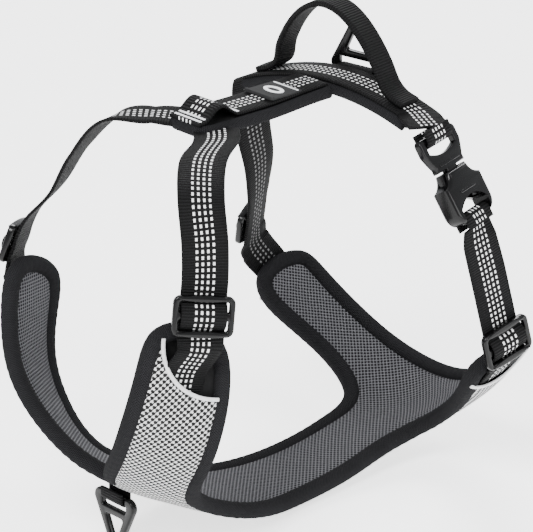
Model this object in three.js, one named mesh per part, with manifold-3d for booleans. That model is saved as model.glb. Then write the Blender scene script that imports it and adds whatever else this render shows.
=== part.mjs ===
// No pull dog harness: padded spine and girth band, adjustable neck and girth straps, a padded
// chest plate with two neck arms and two girth arms, a side-release buckle, a handle and two leash rings.
// Millimetres. +X is the dog's left, -Y points to its head, +Z is up.
// The origin is on the flat underside of the spine pad, on the centre line.

import * as THREE from 'three';
import { mergeVertices } from 'three/addons/utils/BufferGeometryUtils.js';
import Module from 'manifold-3d';

const wasm = await Module();
wasm.setup();

// ---- driving dimensions -------------------------------------------------------------------------

const GAP = 0.3;                                 // air kept between touching pieces
const WEBBING = { width: 25, thickness: 1.6 };
const SPINE = { halfWidth: 16, front: -55, rear: 39, thickness: 6.5, binding: 4, corner: 9 };
const BAND = { centreY: 57, yaw: 9, halfLength: 56, halfWidth: 14, thickness: 5.5, binding: 4, drop: 11 };
const LABEL = { length: 23, width: 23, thickness: 1, y: 10 };
const ARCH = { front: -50, rear: -26, height: 7 };
const HANDLE = { width: 16, thickness: 3, reach: 37, apex: 50, pivotZ: 12, split: 11, skew: 4, peak: 1.7 };
const SLIDER = { width: 33, length: 22, depth: 3.4, bar: 4, endBar: 3.2, slotWidth: 26.6, corner: 4, lift: 3.3 };
const BUCKLE = { width: 36, thickness: 11, male: 22, female: 30, prongReach: 19, lip: 13.2, catchX: 14 };
const PLATE = { bindingWidth: 8, bindingHalf: 4.5, lining: [-3.6, -2.4], foam: [-2.1, 1.0], strap: 2.3, cover: [3.5, 4.5] };
const POCKET = { neckRadius: 35, girthRadius: 26, rise: 20, prism: 30 };
const PIPING = { width: 2, rise: 1 };
const BACK_RING = { halfWidth: 19, height: 32, thickness: 4, slot: 26, lean: 0, behind: 7, barZ: 4.8 };
const FRONT_RING_BAR = [0, -106, -198.2];
const FRONT_RING = { halfWidth: 16.5, height: 31, thickness: 4, slot: 20 };

// Control cage of the chest plate's middle surface, near half; every row runs from front to rear.
const NECK_ARM = [
  [[58, -131, -74], [65, -109, -72], [68, -86, -88]],
  [[56, -136, -98], [67, -113, -101], [74, -87, -111]],
  [[47, -141, -132], [63, -117, -134], [74, -93, -139]],
  [[26, -132, -160], [48, -114, -163], [63, -93, -165]],
  [[8, -122, -176], [29, -106, -185], [39, -88, -195]],
  [[0, -109, -184], [0, -99, -193], [0, -83, -200]],
];
const BELLY = [
  [[38, -32, -221], [0, -48, -219]],
  [[30, 5, -225], [0, -5, -225]],
  [[28, 46, -223], [0, 38, -223]],
  [[26, 76, -215], [0, 70, -216]],
];
const GIRTH_ARM = [
  [[0, 105, -218], [0, 126, -209], [0, 146, -194]],
  [[30, 101, -209], [31, 121, -200], [31, 140, -186]],
  [[51, 99, -190], [53, 117, -186], [53, 134, -173]],
  [[70, 87, -172], [74, 108, -171], [73, 127, -157]],
  [[84, 77, -158], [89, 100, -155], [87, 123, -145]],
  [[91, 78, -144], [95, 96, -137], [93, 116, -137]],
];

// Strap routes: each row is a centre point and the direction of the webbing's width.
const NEAR_NECK_ROUTE = [
  [[15, -43, 3], [0, 1, 0]], [[27, -55, 3.5], [0, 1, 0]], [[48, -83, 3], [0.35, 0.93, 0.05]],
  [[65, -99, -8], [0.5, 0.866, 0]], [[73, -103.5, -30], [0.5, 0.866, 0]], [[74.6, -105, -48], [0.5, 0.866, 0]],
  [[75.2, -106.6, -57.5], [0.5, 0.866, 0]], [[75.8, -108.2, -67], [0.5, 0.866, 0]],
  [[76.4, -109.8, -76.5], [0.5, 0.866, 0]], [[76.6, -111, -86], [0.45, 0.89, 0]],
];
const FAR_NECK_ROUTE = [
  [[-15, -42, 3], [0, 1, 0]], [[-26, -54, 4], [0, 1, 0]], [[-42, -70, 2], [-0.2, 0.98, 0]],
  [[-57, -81, -18], [-0.4, 0.9, 0]], [[-66, -90, -40], [-0.5, 0.866, 0]], [[-73, -101, -54], [-0.5, 0.866, 0]],
  [[-75, -105.4, -62], [-0.5, 0.866, 0]], [[-76.2, -108, -70], [-0.5, 0.866, 0]],
  [[-77.4, -110.6, -78], [-0.5, 0.866, 0]], [[-76.6, -111.5, -87], [-0.45, 0.89, 0]],
];
const FAR_GIRTH_ROUTE = [
  [[-60.5, 48.6, -6], [0.12, 0.99, 0]], [[-65, 51, -19], [0.1, 0.99, 0]], [[-68, 56, -40], [0, 1, 0]],
  [[-73, 65, -64], [-0.15, 0.98, 0.1]], [[-80, 71, -85], [-0.35, 0.93, 0.1]],
  [[-84, 73.3, -95.5], [-0.4, 0.91, 0.1]], [[-88, 75.6, -106], [-0.4, 0.91, 0.1]],
  [[-92, 77.9, -116.5], [-0.4, 0.91, 0.1]], [[-98, 84, -128], [-0.2, 0.97, 0.15]],
];
const BUCKLE_MOUTH = [84.5, 63, -26];
const BUCKLE_WIDTH_DIRECTION = [-0.24, 0.97, 0.02];
const BUCKLE_DOWN = [0.478, 0.159, -0.863];
const NEAR_GIRTH_ROUTE = [
  [[102, 69.5, -64], [0, 1, 0]], [[103.8, 74.5, -84], [0.05, 0.99, 0.1]],
  [[105.2, 79, -103], [0.05, 0.98, 0.12]], [[105.9, 81.8, -114.5], [0.05, 0.98, 0.15]],
  [[106.6, 84.6, -126], [0.05, 0.98, 0.15]], [[107.3, 87.4, -137.5], [0.05, 0.98, 0.15]],
];

// ---- materials ----------------------------------------------------------------------------------

const finish = (color, roughness, metalness = 0) => new THREE.MeshStandardMaterial({ color, roughness, metalness });
const WEBBING_BLACK = () => finish('#1b1b1d', 0.85);
const BINDING_BLACK = () => finish('#202226', 0.9);
const PLASTIC_BLACK = () => finish('#141517', 0.35);
const LINING_GREY = () => finish('#6b6b70', 0.95);
const COVER_MESH = () => finish('#8d8f92', 0.8);
const FOAM_GREY = () => finish('#3a3b3e', 1);
const PIPING_SILVER = () => finish('#c4c6c8', 0.45);
const LABEL_GREY = () => finish('#3c3e41', 0.7);

// ---- general helpers ----------------------------------------------------------------------------

const model = new THREE.Group();
const vector = ([x, y, z]) => new THREE.Vector3(x, y, z);
const mirror = ([x, y, z]) => [-x, y, z];

function add(name, geometry, material, matrix = null, parent = model) {
  const mesh = new THREE.Mesh(geometry, material);
  mesh.name = name;
  if (matrix) {
    matrix.decompose(mesh.position, mesh.quaternion, mesh.scale);
  }
  parent.add(mesh);
  return mesh;
}

// Bends a unit block, cut into steps, by a function of its three coordinates (-0.5 to 0.5).
function bent(steps, place) {
  const geometry = new THREE.BoxGeometry(1, 1, 1, ...steps);
  geometry.deleteAttribute('normal');
  geometry.deleteAttribute('uv');
  const merged = mergeVertices(geometry);
  const position = merged.attributes.position;
  const point = new THREE.Vector3();
  for (let i = 0; i < position.count; i += 1) {
    point.copy(place(position.getX(i), position.getY(i), position.getZ(i)));
    position.setXYZ(i, point.x, point.y, point.z);
  }
  merged.computeVertexNormals();
  return merged;
}

function positionsOnly(geometry) {
  const bare = geometry.clone();
  Object.keys(bare.attributes).filter((key) => key !== 'position').forEach((key) => bare.deleteAttribute(key));
  return mergeVertices(bare, 1e-4);
}

function toSolid(geometry) {
  const merged = positionsOnly(geometry);
  return new wasm.Manifold(new wasm.Mesh({
    numProp: 3,
    vertProperties: Float32Array.from(merged.attributes.position.array),
    triVerts: Uint32Array.from(merged.index.array),
  }));
}

function fromSolid(solid) {
  const mesh = solid.getMesh();
  const geometry = new THREE.BufferGeometry();
  geometry.setAttribute('position', new THREE.BufferAttribute(Float32Array.from(mesh.vertProperties), 3));
  geometry.setIndex(Array.from(mesh.triVerts));
  geometry.computeVertexNormals();
  return geometry;
}

// An outline drawn in X and Y, either way round, extruded evenly about Z = 0.
function plate(shape, depth, curveSegments = 6) {
  const { shape: outline, holes } = shape.extractPoints(curveSegments);
  const flat = new THREE.Shape(THREE.ShapeUtils.isClockWise(outline) ? outline.reverse() : outline);
  flat.holes = holes.map((hole) => new THREE.Path(hole));
  const geometry = new THREE.ExtrudeGeometry(flat, { depth, bevelEnabled: false });
  return geometry.translate(0, 0, -depth / 2);
}

function block(width, length, height, x = 0, y = 0, z = 0) {
  return new THREE.BoxGeometry(width, length, height).translate(x, y, z);
}

function roundedRectangle(width, length, radius, path = new THREE.Shape()) {
  const x = width / 2;
  const y = length / 2;
  path.moveTo(-x + radius, -y);
  path.lineTo(x - radius, -y);
  path.absarc(x - radius, -y + radius, radius, -Math.PI / 2, 0);
  path.lineTo(x, y - radius);
  path.absarc(x - radius, y - radius, radius, 0, Math.PI / 2);
  path.lineTo(-x + radius, y);
  path.absarc(-x + radius, y - radius, radius, Math.PI / 2, Math.PI);
  path.lineTo(-x, -y + radius);
  path.absarc(-x + radius, -y + radius, radius, Math.PI, 1.5 * Math.PI);
  return path;
}

// Local axes: X across the webbing, Y up along the strap, Z away from the dog.
function strapFrame(origin, across, up) {
  const y = vector(up).normalize();
  const x = vector(across).addScaledVector(y, -vector(across).dot(y)).normalize();
  const z = new THREE.Vector3().crossVectors(x, y);
  return new THREE.Matrix4().makeBasis(x, y, z).setPosition(vector(origin));
}

// ---- webbing ------------------------------------------------------------------------------------

function ribbon(route, { width = WEBBING.width, thickness = WEBBING.thickness, stepsPerSpan = 3 } = {}) {
  const curve = new THREE.CatmullRomCurve3(route.map(([centre]) => vector(centre)), false, 'centripetal');
  const spans = route.length - 1;
  const frameAt = (t) => {
    const span = Math.min(Math.floor(t * spans), spans - 1);
    const part = t * spans - span;
    const tangent = curve.getTangent(t);
    const across = vector(route[span][1]).lerp(vector(route[span + 1][1]), part);
    across.addScaledVector(tangent, -across.dot(tangent)).normalize();
    return { centre: curve.getPoint(t), across, normal: new THREE.Vector3().crossVectors(across, tangent) };
  };
  return bent([1, spans * stepsPerSpan, 1], (u, v, w) => {
    const { centre, across, normal } = frameAt(v + 0.5);
    return centre.addScaledVector(across, u * width).addScaledVector(normal, w * thickness);
  });
}

// ---- spine pad ----------------------------------------------------------------------------------

// A strip of binding folded round the pad: a rounded section swept along a path in the pad's plane.
function spineBinding() {
  const outer = new THREE.Shape();
  const { halfWidth, front, rear, binding, corner } = SPINE;
  outer.moveTo(halfWidth, rear);
  outer.lineTo(halfWidth, front + corner);
  outer.absarc(halfWidth - corner, front + corner, corner, 0, -Math.PI / 2, true);
  outer.lineTo(-halfWidth + corner, front);
  outer.absarc(-halfWidth + corner, front + corner, corner, -Math.PI / 2, -Math.PI, true);
  outer.lineTo(-halfWidth, rear);
  outer.lineTo(-halfWidth + binding, rear);
  outer.lineTo(-halfWidth + binding, front + corner);
  outer.absarc(-halfWidth + corner, front + corner, corner - binding, Math.PI, 1.5 * Math.PI, false);
  outer.lineTo(halfWidth - corner, front + binding);
  outer.absarc(halfWidth - corner, front + corner, corner - binding, -Math.PI / 2, 0, false);
  outer.lineTo(halfWidth - binding, rear);
  return plate(outer, SPINE.thickness).translate(0, 0, SPINE.thickness / 2);
}

function spinePad() {
  const width = 2 * (SPINE.halfWidth - SPINE.binding - GAP);
  const front = SPINE.front + SPINE.binding + GAP;
  const length = SPINE.rear - front;
  return plate(roundedRectangle(width, length, SPINE.corner - SPINE.binding), SPINE.thickness)
    .translate(0, front + length / 2, SPINE.thickness / 2);
}

// The spine webbing lies on the pad and rises in one hump near its front end.
function spineWebbing() {
  const start = SPINE.front + 1;
  const end = SPINE.rear;
  const base = SPINE.thickness + GAP;
  return bent([1, 36, 1], (u, v, w) => {
    const y = start + (v + 0.5) * (end - start);
    const t = THREE.MathUtils.clamp((y - ARCH.front) / (ARCH.rear - ARCH.front), 0, 1);
    const rise = ARCH.height * Math.sin(Math.PI * t) ** 1.5;
    return new THREE.Vector3(u * WEBBING.width, y, base + rise + (w + 0.5) * WEBBING.thickness);
  });
}

function label() {
  const z = SPINE.thickness + WEBBING.thickness + 2 * GAP + LABEL.thickness / 2;
  return plate(roundedRectangle(LABEL.width, LABEL.length, 1.5), LABEL.thickness).translate(0, LABEL.y, z);
}

// ---- girth band, on the back --------------------------------------------------------------------

const bandHeight = (x) => -BAND.drop * (x / BAND.halfLength) ** 2;
const bandGroup = new THREE.Group();
bandGroup.position.set(0, BAND.centreY, 0);
bandGroup.rotation.z = THREE.MathUtils.degToRad(BAND.yaw);
model.add(bandGroup);

function bandStrip(yFrom, yTo, zFrom, zTo, halfLength = BAND.halfLength, steps = 14) {
  return bent([steps, 1, 1], (u, v, w) => {
    const x = 2 * u * halfLength;
    const y = THREE.MathUtils.lerp(yFrom, yTo, v + 0.5);
    return new THREE.Vector3(x, y, bandHeight(x) + THREE.MathUtils.lerp(zFrom, zTo, w + 0.5));
  });
}

// The band's front edge is cut straight across the spine so that the spine pad meets it.
const BAND_BASE = 2;
const BAND_TOP = BAND_BASE + BAND.thickness;

// ---- handle -------------------------------------------------------------------------------------

// Peaked arch over the band, its top a little to the far side; angle 0 is the near foot, pi the far foot.
function handlePoint(angle) {
  const rise = HANDLE.apex - HANDLE.pivotZ;
  const x = HANDLE.reach * Math.cos(angle) - HANDLE.skew * Math.sin(angle);
  return [x, 0, HANDLE.pivotZ + rise * Math.sin(angle) ** HANDLE.peak];
}

function handleArch(fromAngle, toAngle, count) {
  const route = [];
  for (let i = 0; i <= count; i += 1) {
    const angle = THREE.MathUtils.lerp(fromAngle, toAngle, i / count);
    route.push([handlePoint(angle), [0, 1, 0]]);
  }
  return ribbon(route, { width: HANDLE.width, thickness: HANDLE.thickness, stepsPerSpan: 2 });
}

// The sewn end lies on the band and turns up towards the arch.
function handleFoot(side) {
  const top = BAND_TOP + WEBBING.thickness + 4 * GAP + HANDLE.thickness / 2;
  const x = (value) => side * value;
  return ribbon([
    [[x(HANDLE.reach + 14), 0, top + bandHeight(HANDLE.reach + 14)], [0, 1, 0]],
    [[x(HANDLE.reach + 6), 0, top + bandHeight(HANDLE.reach + 6) + 0.3], [0, 1, 0]],
    [[x(HANDLE.reach + 1.5), 0, top + bandHeight(HANDLE.reach + 1) + 3], [0, 1, 0]],
    [[x(HANDLE.reach - 4) - 2, 0, HANDLE.pivotZ + HANDLE.split - 2.8], [0, 1, 0]],
  ], { width: HANDLE.width, thickness: HANDLE.thickness });
}

// ---- leash rings --------------------------------------------------------------------------------

// Rounded triangular plate hanging along -Y from the middle of its round-edged bar at the origin.
function leashRing({ halfWidth, height, thickness, slot }) {
  const bar = thickness / 2;
  const tipRadius = halfWidth * 0.42;
  const cornerRadius = 5;
  const outline = new THREE.Shape();
  const tipY = -height + bar + tipRadius;
  outline.moveTo(-halfWidth + cornerRadius, bar);
  outline.lineTo(halfWidth - cornerRadius, bar);
  outline.absarc(halfWidth - cornerRadius, bar - cornerRadius, cornerRadius, Math.PI / 2, -0.35, true);
  outline.absarc(0, tipY, tipRadius, -0.5, Math.PI + 0.5, true);
  outline.absarc(-halfWidth + cornerRadius, bar - cornerRadius, cornerRadius, Math.PI + 0.35, Math.PI / 2, true);
  const window = new THREE.Path();
  window.moveTo(-slot / 2, -bar - 4.4);
  window.lineTo(-slot / 2, -bar);
  window.lineTo(slot / 2, -bar);
  window.lineTo(slot / 2, -bar - 4.4);
  outline.holes.push(window);
  const eye = new THREE.Path();
  const eyeTop = -bar - 8.6;
  const eyeRadius = tipRadius * 0.5;
  eye.moveTo(-halfWidth * 0.52, eyeTop);
  eye.lineTo(halfWidth * 0.52, eyeTop);
  eye.absarc(0, tipY + 0.8, eyeRadius, -0.4, Math.PI + 0.4, true);
  outline.holes.push(eye);
  return plate(outline, thickness);
}

// Webbing folded round a bar at the origin, its two legs running up +Y.
function webbingFold(width, legLength, barWidth, barThickness) {
  const inner = Math.hypot(barWidth, barThickness) / 2 + GAP;
  const outer = inner + 1.3;
  const section = new THREE.Shape();
  section.moveTo(outer, legLength);
  section.lineTo(outer, 0);
  section.absarc(0, 0, outer, 0, -Math.PI, true);
  section.lineTo(-outer, legLength);
  section.lineTo(-inner, legLength);
  section.lineTo(-inner, 0);
  section.absarc(0, 0, inner, -Math.PI, 0, false);
  section.lineTo(inner, legLength);
  return plate(section, width).rotateY(Math.PI / 2);
}

// ---- strap slider -------------------------------------------------------------------------------

function sliderFrame() {
  const { width, length, depth, bar, endBar, slotWidth, corner } = SLIDER;
  const outline = roundedRectangle(width, length, corner);
  const slotLength = (length - bar - 2 * endBar) / 2;
  for (const side of [-1, 1]) {
    const middle = side * (bar + slotLength) / 2;
    const slot = new THREE.Path();
    slot.moveTo(-slotWidth / 2, middle - slotLength / 2);
    slot.lineTo(-slotWidth / 2, middle + slotLength / 2);
    slot.lineTo(slotWidth / 2, middle + slotLength / 2);
    slot.lineTo(slotWidth / 2, middle - slotLength / 2);
    outline.holes.push(slot);
  }
  return plate(outline, depth, 4);
}

// Webbing folded over the slider's middle bar.
function sliderFold() {
  const inner = SLIDER.bar / 2 + 0.35;
  const outer = inner + 1.5;
  const low = -SLIDER.depth / 2 + 0.2;
  const top = SLIDER.depth / 2 + GAP - 0.6;
  const section = new THREE.Shape();
  section.moveTo(-outer, low);
  section.lineTo(-inner, low);
  section.lineTo(-inner, top);
  section.absellipse(0, top, inner, 1, Math.PI, 0, true);
  section.lineTo(inner, low);
  section.lineTo(outer, low);
  section.lineTo(outer, top);
  section.absellipse(0, top, outer, 2.5, 0, Math.PI, false);
  return plate(section, WEBBING.width - 0.5).applyMatrix4(
    new THREE.Matrix4().makeBasis(new THREE.Vector3(0, 1, 0), new THREE.Vector3(0, 0, 1), new THREE.Vector3(1, 0, 0)),
  );
}

function addSlider(name, [centre, across], up) {
  const matrix = strapFrame(centre, across, up).multiply(new THREE.Matrix4().makeTranslation(0, 0, SLIDER.lift));
  add(`${name}_slider`, sliderFrame(), PLASTIC_BLACK(), matrix);
  add(`${name}_slider_fold`, sliderFold(), WEBBING_BLACK(), matrix);
}

// ---- side-release buckle ------------------------------------------------------------------------
// Local axes: X across, Y up towards the band, Z away from the dog; Y = 0 is the female mouth.

const MALE_INSIDE = 4;                            // thickness of the male half and its prongs
const PRONG_ROOT = 0.2;                           // height of the prongs' turning axes
const TONGUE = 8;
const FEMALE_BAR = 3.4;

function buckleMale() {
  const outline = new THREE.Shape();
  const top = BUCKLE.male;
  const half = BUCKLE.width / 2;
  outline.moveTo(-half + 3, top);
  outline.lineTo(half - 3, top);
  outline.absarc(half - 3, top - 3, 3, Math.PI / 2, 0, true);
  outline.lineTo(half, top - 9);
  outline.quadraticCurveTo(half - 2, top - 14, half - 4.5, 4);
  outline.lineTo(half - 4.5, PRONG_ROOT + 1);
  outline.lineTo(5, PRONG_ROOT + 1);
  outline.lineTo(4, -TONGUE);
  outline.lineTo(-4, -TONGUE);
  outline.lineTo(-5, PRONG_ROOT + 1);
  outline.lineTo(-half + 4.5, PRONG_ROOT + 1);
  outline.lineTo(-half + 4.5, 4);
  outline.quadraticCurveTo(-half + 2, top - 14, -half, top - 9);
  outline.lineTo(-half, top - 3);
  outline.absarc(-half + 3, top - 3, 3, Math.PI, Math.PI / 2, true);
  const slot = new THREE.Path();
  slot.moveTo(-13, top - 4);
  slot.lineTo(13, top - 4);
  slot.lineTo(13, top - 9.3);
  slot.quadraticCurveTo(0, top - 15, -13, top - 9.3);
  outline.holes.push(slot);
  return plate(outline, MALE_INSIDE, 4);
}

// One springy side arm with its catch; it turns about its root just under the male half's shoulder.
function buckleProng(side) {
  const reach = -BUCKLE.prongReach;
  const outline = new THREE.Shape();
  outline.moveTo(8.6, PRONG_ROOT - 0.2);
  outline.lineTo(12.6, PRONG_ROOT - 0.2);
  outline.lineTo(12.6, reach + 6);
  outline.lineTo(BUCKLE.catchX, reach + 4.6);
  outline.lineTo(BUCKLE.catchX, reach + 3);
  outline.lineTo(11.6, reach);
  outline.lineTo(10, reach);
  outline.lineTo(8.6, reach + 4);
  const geometry = plate(outline, MALE_INSIDE);
  return side > 0 ? geometry : fromSolid(toSolid(geometry).mirror([1, 0, 0]));
}

function buckleFemale() {
  const half = BUCKLE.width / 2;
  const bottom = -BUCKLE.female;
  const outline = new THREE.Shape();
  outline.moveTo(-9.5, -0.3);
  outline.lineTo(9.5, -0.3);
  outline.quadraticCurveTo(10.5, -6, half, -8);
  outline.lineTo(half, bottom + 7);
  outline.quadraticCurveTo(half - 1, bottom + 1, half - 7, bottom);
  outline.lineTo(-half + 7, bottom);
  outline.quadraticCurveTo(-half + 1, bottom + 1, -half, bottom + 7);
  outline.lineTo(-half, -8);
  outline.quadraticCurveTo(-10.5, -6, -9.5, -0.3);
  const slotTop = bottom + 8.6;
  const window = block(26.4, slotTop - bottom - FEMALE_BAR, 2 * BUCKLE.thickness, 0, (slotTop + bottom + FEMALE_BAR) / 2, 0);
  const recess = (side) => block(26.4, slotTop - bottom + 2, BUCKLE.thickness, 0, (slotTop + bottom) / 2 - 1, side * (2 + BUCKLE.thickness / 2));
  const chamberEnd = -BUCKLE.prongReach - 1;
  const chamberTop = -9;
  const mouth = block(2 * BUCKLE.lip, 11, MALE_INSIDE + 1, 0, -4.5, 0);
  const chamber = block(29.4, chamberTop - chamberEnd, MALE_INSIDE + 1, 0, (chamberEnd + chamberTop) / 2, 0);
  const cutters = [window, recess(1), recess(-1), mouth, chamber].map(toSolid);
  const body = toSolid(plate(outline, BUCKLE.thickness, 4));
  return fromSolid(cutters.reduce((rest, cutter) => rest.subtract(cutter), body));
}

// ---- chest plate: one subdivision of the control cage gives the middle surface --------------------

function plateCage() {
  const points = [];
  const indexOf = new Map();
  const faces = [];
  const at = (point, side) => {
    const placed = side < 0 && point[0] !== 0 ? mirror(point) : point;
    const key = placed.join();
    if (!indexOf.has(key)) {
      indexOf.set(key, points.length);
      points.push(vector(placed));
    }
    return indexOf.get(key);
  };
  const quad = (side, corners) => {
    const face = corners.map((corner) => at(corner, side));
    faces.push(side > 0 ? face.reverse() : face);
  };
  const rows = [[NECK_ARM[4][2], NECK_ARM[5][2]], ...BELLY, [GIRTH_ARM[1][0], GIRTH_ARM[0][0]]];
  for (const side of [1, -1]) {
    for (let i = 0; i < 5; i += 1) {
      for (let k = 0; k < 2; k += 1) {
        quad(side, [NECK_ARM[i][k], NECK_ARM[i][k + 1], NECK_ARM[i + 1][k + 1], NECK_ARM[i + 1][k]]);
        quad(side, [GIRTH_ARM[i + 1][k], GIRTH_ARM[i + 1][k + 1], GIRTH_ARM[i][k + 1], GIRTH_ARM[i][k]]);
      }
      quad(side, [rows[i][0], rows[i + 1][0], rows[i + 1][1], rows[i][1]]);
    }
  }
  return { points, faces };
}

const edgeKey = (a, b) => (a < b ? `${a},${b}` : `${b},${a}`);

function edgesOf(faces) {
  const edges = new Map();
  faces.forEach((face, index) => face.forEach((a, i) => {
    const b = face[(i + 1) % face.length];
    const key = edgeKey(a, b);
    if (!edges.has(key)) {
      edges.set(key, { a, b, faces: [] });
    }
    edges.get(key).faces.push(index);
  }));
  return edges;
}

const average = (vectors) => vectors
  .reduce((sum, item) => sum.add(item), new THREE.Vector3())
  .divideScalar(vectors.length);

// One Catmull-Clark step with smooth open edges.
function subdivide({ points, faces }) {
  const edges = edgesOf(faces);
  const facePoints = faces.map((face) => average(face.map((i) => points[i])));
  const vertexPoints = points.map((point, index) => {
    const own = [...edges.values()].filter((edge) => edge.a === index || edge.b === index);
    const open = own.filter((edge) => edge.faces.length === 1);
    if (open.length) {
      const others = open.map((edge) => points[edge.a === index ? edge.b : edge.a]);
      return point.clone().multiplyScalar(0.75).addScaledVector(average(others), 0.25);
    }
    const count = own.length;
    const around = [...new Set(own.flatMap((edge) => edge.faces))].map((i) => facePoints[i]);
    const middles = own.map((edge) => average([points[edge.a], points[edge.b]]));
    return average(around).addScaledVector(average(middles), 2).addScaledVector(point, count - 3).divideScalar(count);
  });
  const refined = [...vertexPoints, ...facePoints];
  for (const edge of edges.values()) {
    const middle = average([points[edge.a], points[edge.b]]);
    edge.index = refined.length;
    refined.push(edge.faces.length === 1
      ? middle
      : average([middle, average(edge.faces.map((i) => facePoints[i]))]));
  }
  const split = faces.flatMap((face, index) => face.map((corner, i) => {
    const before = face[(i + face.length - 1) % face.length];
    const after = face[(i + 1) % face.length];
    return [
      points.length + index, edges.get(edgeKey(before, corner)).index,
      corner, edges.get(edgeKey(corner, after)).index,
    ];
  }));
  return { points: refined, faces: split };
}

// Adds outward normals, the boundary in order, and the inward direction at each boundary point.
function surfaceOf({ points, faces }) {
  const normals = points.map(() => new THREE.Vector3());
  for (const face of faces) {
    const normal = points[face[2]].clone().sub(points[face[0]]).cross(points[face[3]].clone().sub(points[face[1]]));
    face.forEach((i) => normals[i].add(normal));
  }
  normals.forEach((normal) => normal.normalize());
  const next = new Map();
  for (const face of faces) {
    face.forEach((a, i) => next.set(`${a},${face[(i + 1) % 4]}`, true));
  }
  const follow = new Map();
  for (const key of next.keys()) {
    const [a, b] = key.split(',').map(Number);
    if (!next.has(`${b},${a}`)) {
      follow.set(a, b);
    }
  }
  const boundary = [follow.keys().next().value];
  while (follow.get(boundary.at(-1)) !== boundary[0]) {
    boundary.push(follow.get(boundary.at(-1)));
  }
  const inward = new Map(boundary.map((index, i) => {
    const before = points[boundary.at(i - 1)];
    const after = points[boundary[(i + 1) % boundary.length]];
    const along = after.clone().sub(before).normalize();
    return [index, new THREE.Vector3().crossVectors(normals[index], along).normalize()];
  }));
  return { points, faces, normals, boundary, inward };
}

const plateSurface = surfaceOf(subdivide(plateCage()));

// A sheet between two heights over the middle surface, its edge set in from the plate's edge.
function plateLayer([low, high], inset) {
  const { points, faces, normals, boundary, inward } = plateSurface;
  const base = points.map((point, i) => (inward.has(i) ? point.clone().addScaledVector(inward.get(i), inset) : point));
  const lift = (height) => base.map((point, i) => point.clone().addScaledVector(normals[i], height));
  const vertices = [...lift(high), ...lift(low)];
  const under = points.length;
  const index = [];
  for (const [a, b, c, d] of faces) {
    index.push(a, b, c, a, c, d);
    index.push(under + a, under + c, under + b, under + a, under + d, under + c);
  }
  boundary.forEach((a, i) => {
    const b = boundary[(i + 1) % boundary.length];
    index.push(a, under + a, b, b, under + a, under + b);
  });
  return indexed(vertices, index);
}

function indexed(vertices, index) {
  const geometry = new THREE.BufferGeometry().setFromPoints(vertices);
  geometry.setIndex(index);
  geometry.computeVertexNormals();
  return geometry;
}

// Binding tape round the whole edge: a rounded section swept along the boundary.
function plateBinding(grow = 0) {
  const { points, normals, boundary, inward } = plateSurface;
  const width = PLATE.bindingWidth + grow;
  const sides = 8;
  const vertices = [];
  const index = [];
  boundary.forEach((p, i) => {
    for (let k = 0; k < sides; k += 1) {
      const angle = (2 * Math.PI * (k + 0.5)) / sides;
      const across = (1 + 1.08 * Math.cos(angle)) * width / 2;
      const height = 1.08 * Math.sin(angle) * (PLATE.bindingHalf + grow);
      vertices.push(points[p].clone()
        .addScaledVector(inward.get(p), Math.min(Math.max(across, 0), width))
        .addScaledVector(normals[p], height));
      const row = i * sides;
      const nextRow = ((i + 1) % boundary.length) * sides;
      const after = (k + 1) % sides;
      index.push(row + k, row + after, nextRow + k, nextRow + k, row + after, nextRow + after);
    }
  });
  return indexed(vertices, index);
}

function nearestOnPlate(target, side, height) {
  const wanted = vector(side < 0 ? mirror(target) : target);
  const distances = plateSurface.points.map((point) => point.distanceTo(wanted));
  const index = distances.indexOf(Math.min(...distances));
  return plateSurface.points[index].clone().addScaledVector(plateSurface.normals[index], height).toArray();
}

const between = (a, b, t = 0.5) => a.map((value, i) => THREE.MathUtils.lerp(value, b[i], t));

// The strap's last stretch lies on the foam of an arm and ends under the cover.
function pocketRoute(rows, order, side) {
  const [tip, middle, deep] = order.map((row) => rows[row]);
  const across = between(tip[2], middle[2]).map((value, i) => value - between(tip[0], middle[0])[i]);
  const direction = side < 0 ? mirror(across) : across;
  return [
    [nearestOnPlate(between(tip[1], middle[1]), side, PLATE.strap + 3), direction],
    [nearestOnPlate(middle[1], side, PLATE.strap), direction],
    [nearestOnPlate(between(middle[1], deep[1]), side, PLATE.strap), direction],
  ];
}

// Axes of an arm's pocket mouth: X from front to rear, Y towards the tip, Z outwards.
function pocketFrame(rows, [tip, middle, deep], side) {
  const place = (point) => vector(side < 0 ? mirror(point) : point);
  const origin = place(rows[middle][1]);
  const up = place(rows[tip][1]).sub(place(rows[deep][1])).normalize();
  const across = place(rows[middle][2]).sub(place(rows[middle][0]));
  across.addScaledVector(up, -across.dot(up)).normalize();
  const outward = new THREE.Vector3().crossVectors(across, up);
  return new THREE.Matrix4().makeBasis(across, up, outward).setPosition(origin);
}

// The open part above a pocket mouth: a neck arm's mouth sweeps to its rear edge, a girth arm's is a U.
function mouthShape(kind, shrink) {
  const shape = new THREE.Shape();
  const far = 60;
  const radius = (kind === 'neck' ? POCKET.neckRadius : POCKET.girthRadius) - shrink;
  const centreX = kind === 'neck' ? 20 : 0;
  shape.moveTo(-far, far);
  shape.lineTo(-far, POCKET.rise);
  shape.lineTo(centreX - radius, POCKET.rise);
  shape.absarc(centreX, POCKET.rise, radius, Math.PI, kind === 'neck' ? 1.5 * Math.PI : 2 * Math.PI, false);
  shape.lineTo(far, kind === 'neck' ? POCKET.rise - radius : POCKET.rise);
  shape.lineTo(far, far);
  return shape;
}

function mouthPrism(kind, shrink, frame) {
  return toSolid(plate(mouthShape(kind, shrink), POCKET.prism, 10).applyMatrix4(frame));
}

const ARMS = [
  { name: 'near_neck', kind: 'neck', rows: NECK_ARM, order: [0, 1, 2], side: 1 },
  { name: 'far_neck', kind: 'neck', rows: NECK_ARM, order: [0, 1, 2], side: -1 },
  { name: 'near_girth', kind: 'girth', rows: GIRTH_ARM, order: [5, 4, 3], side: 1 },
  { name: 'far_girth', kind: 'girth', rows: GIRTH_ARM, order: [5, 4, 3], side: -1 },
];

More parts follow.
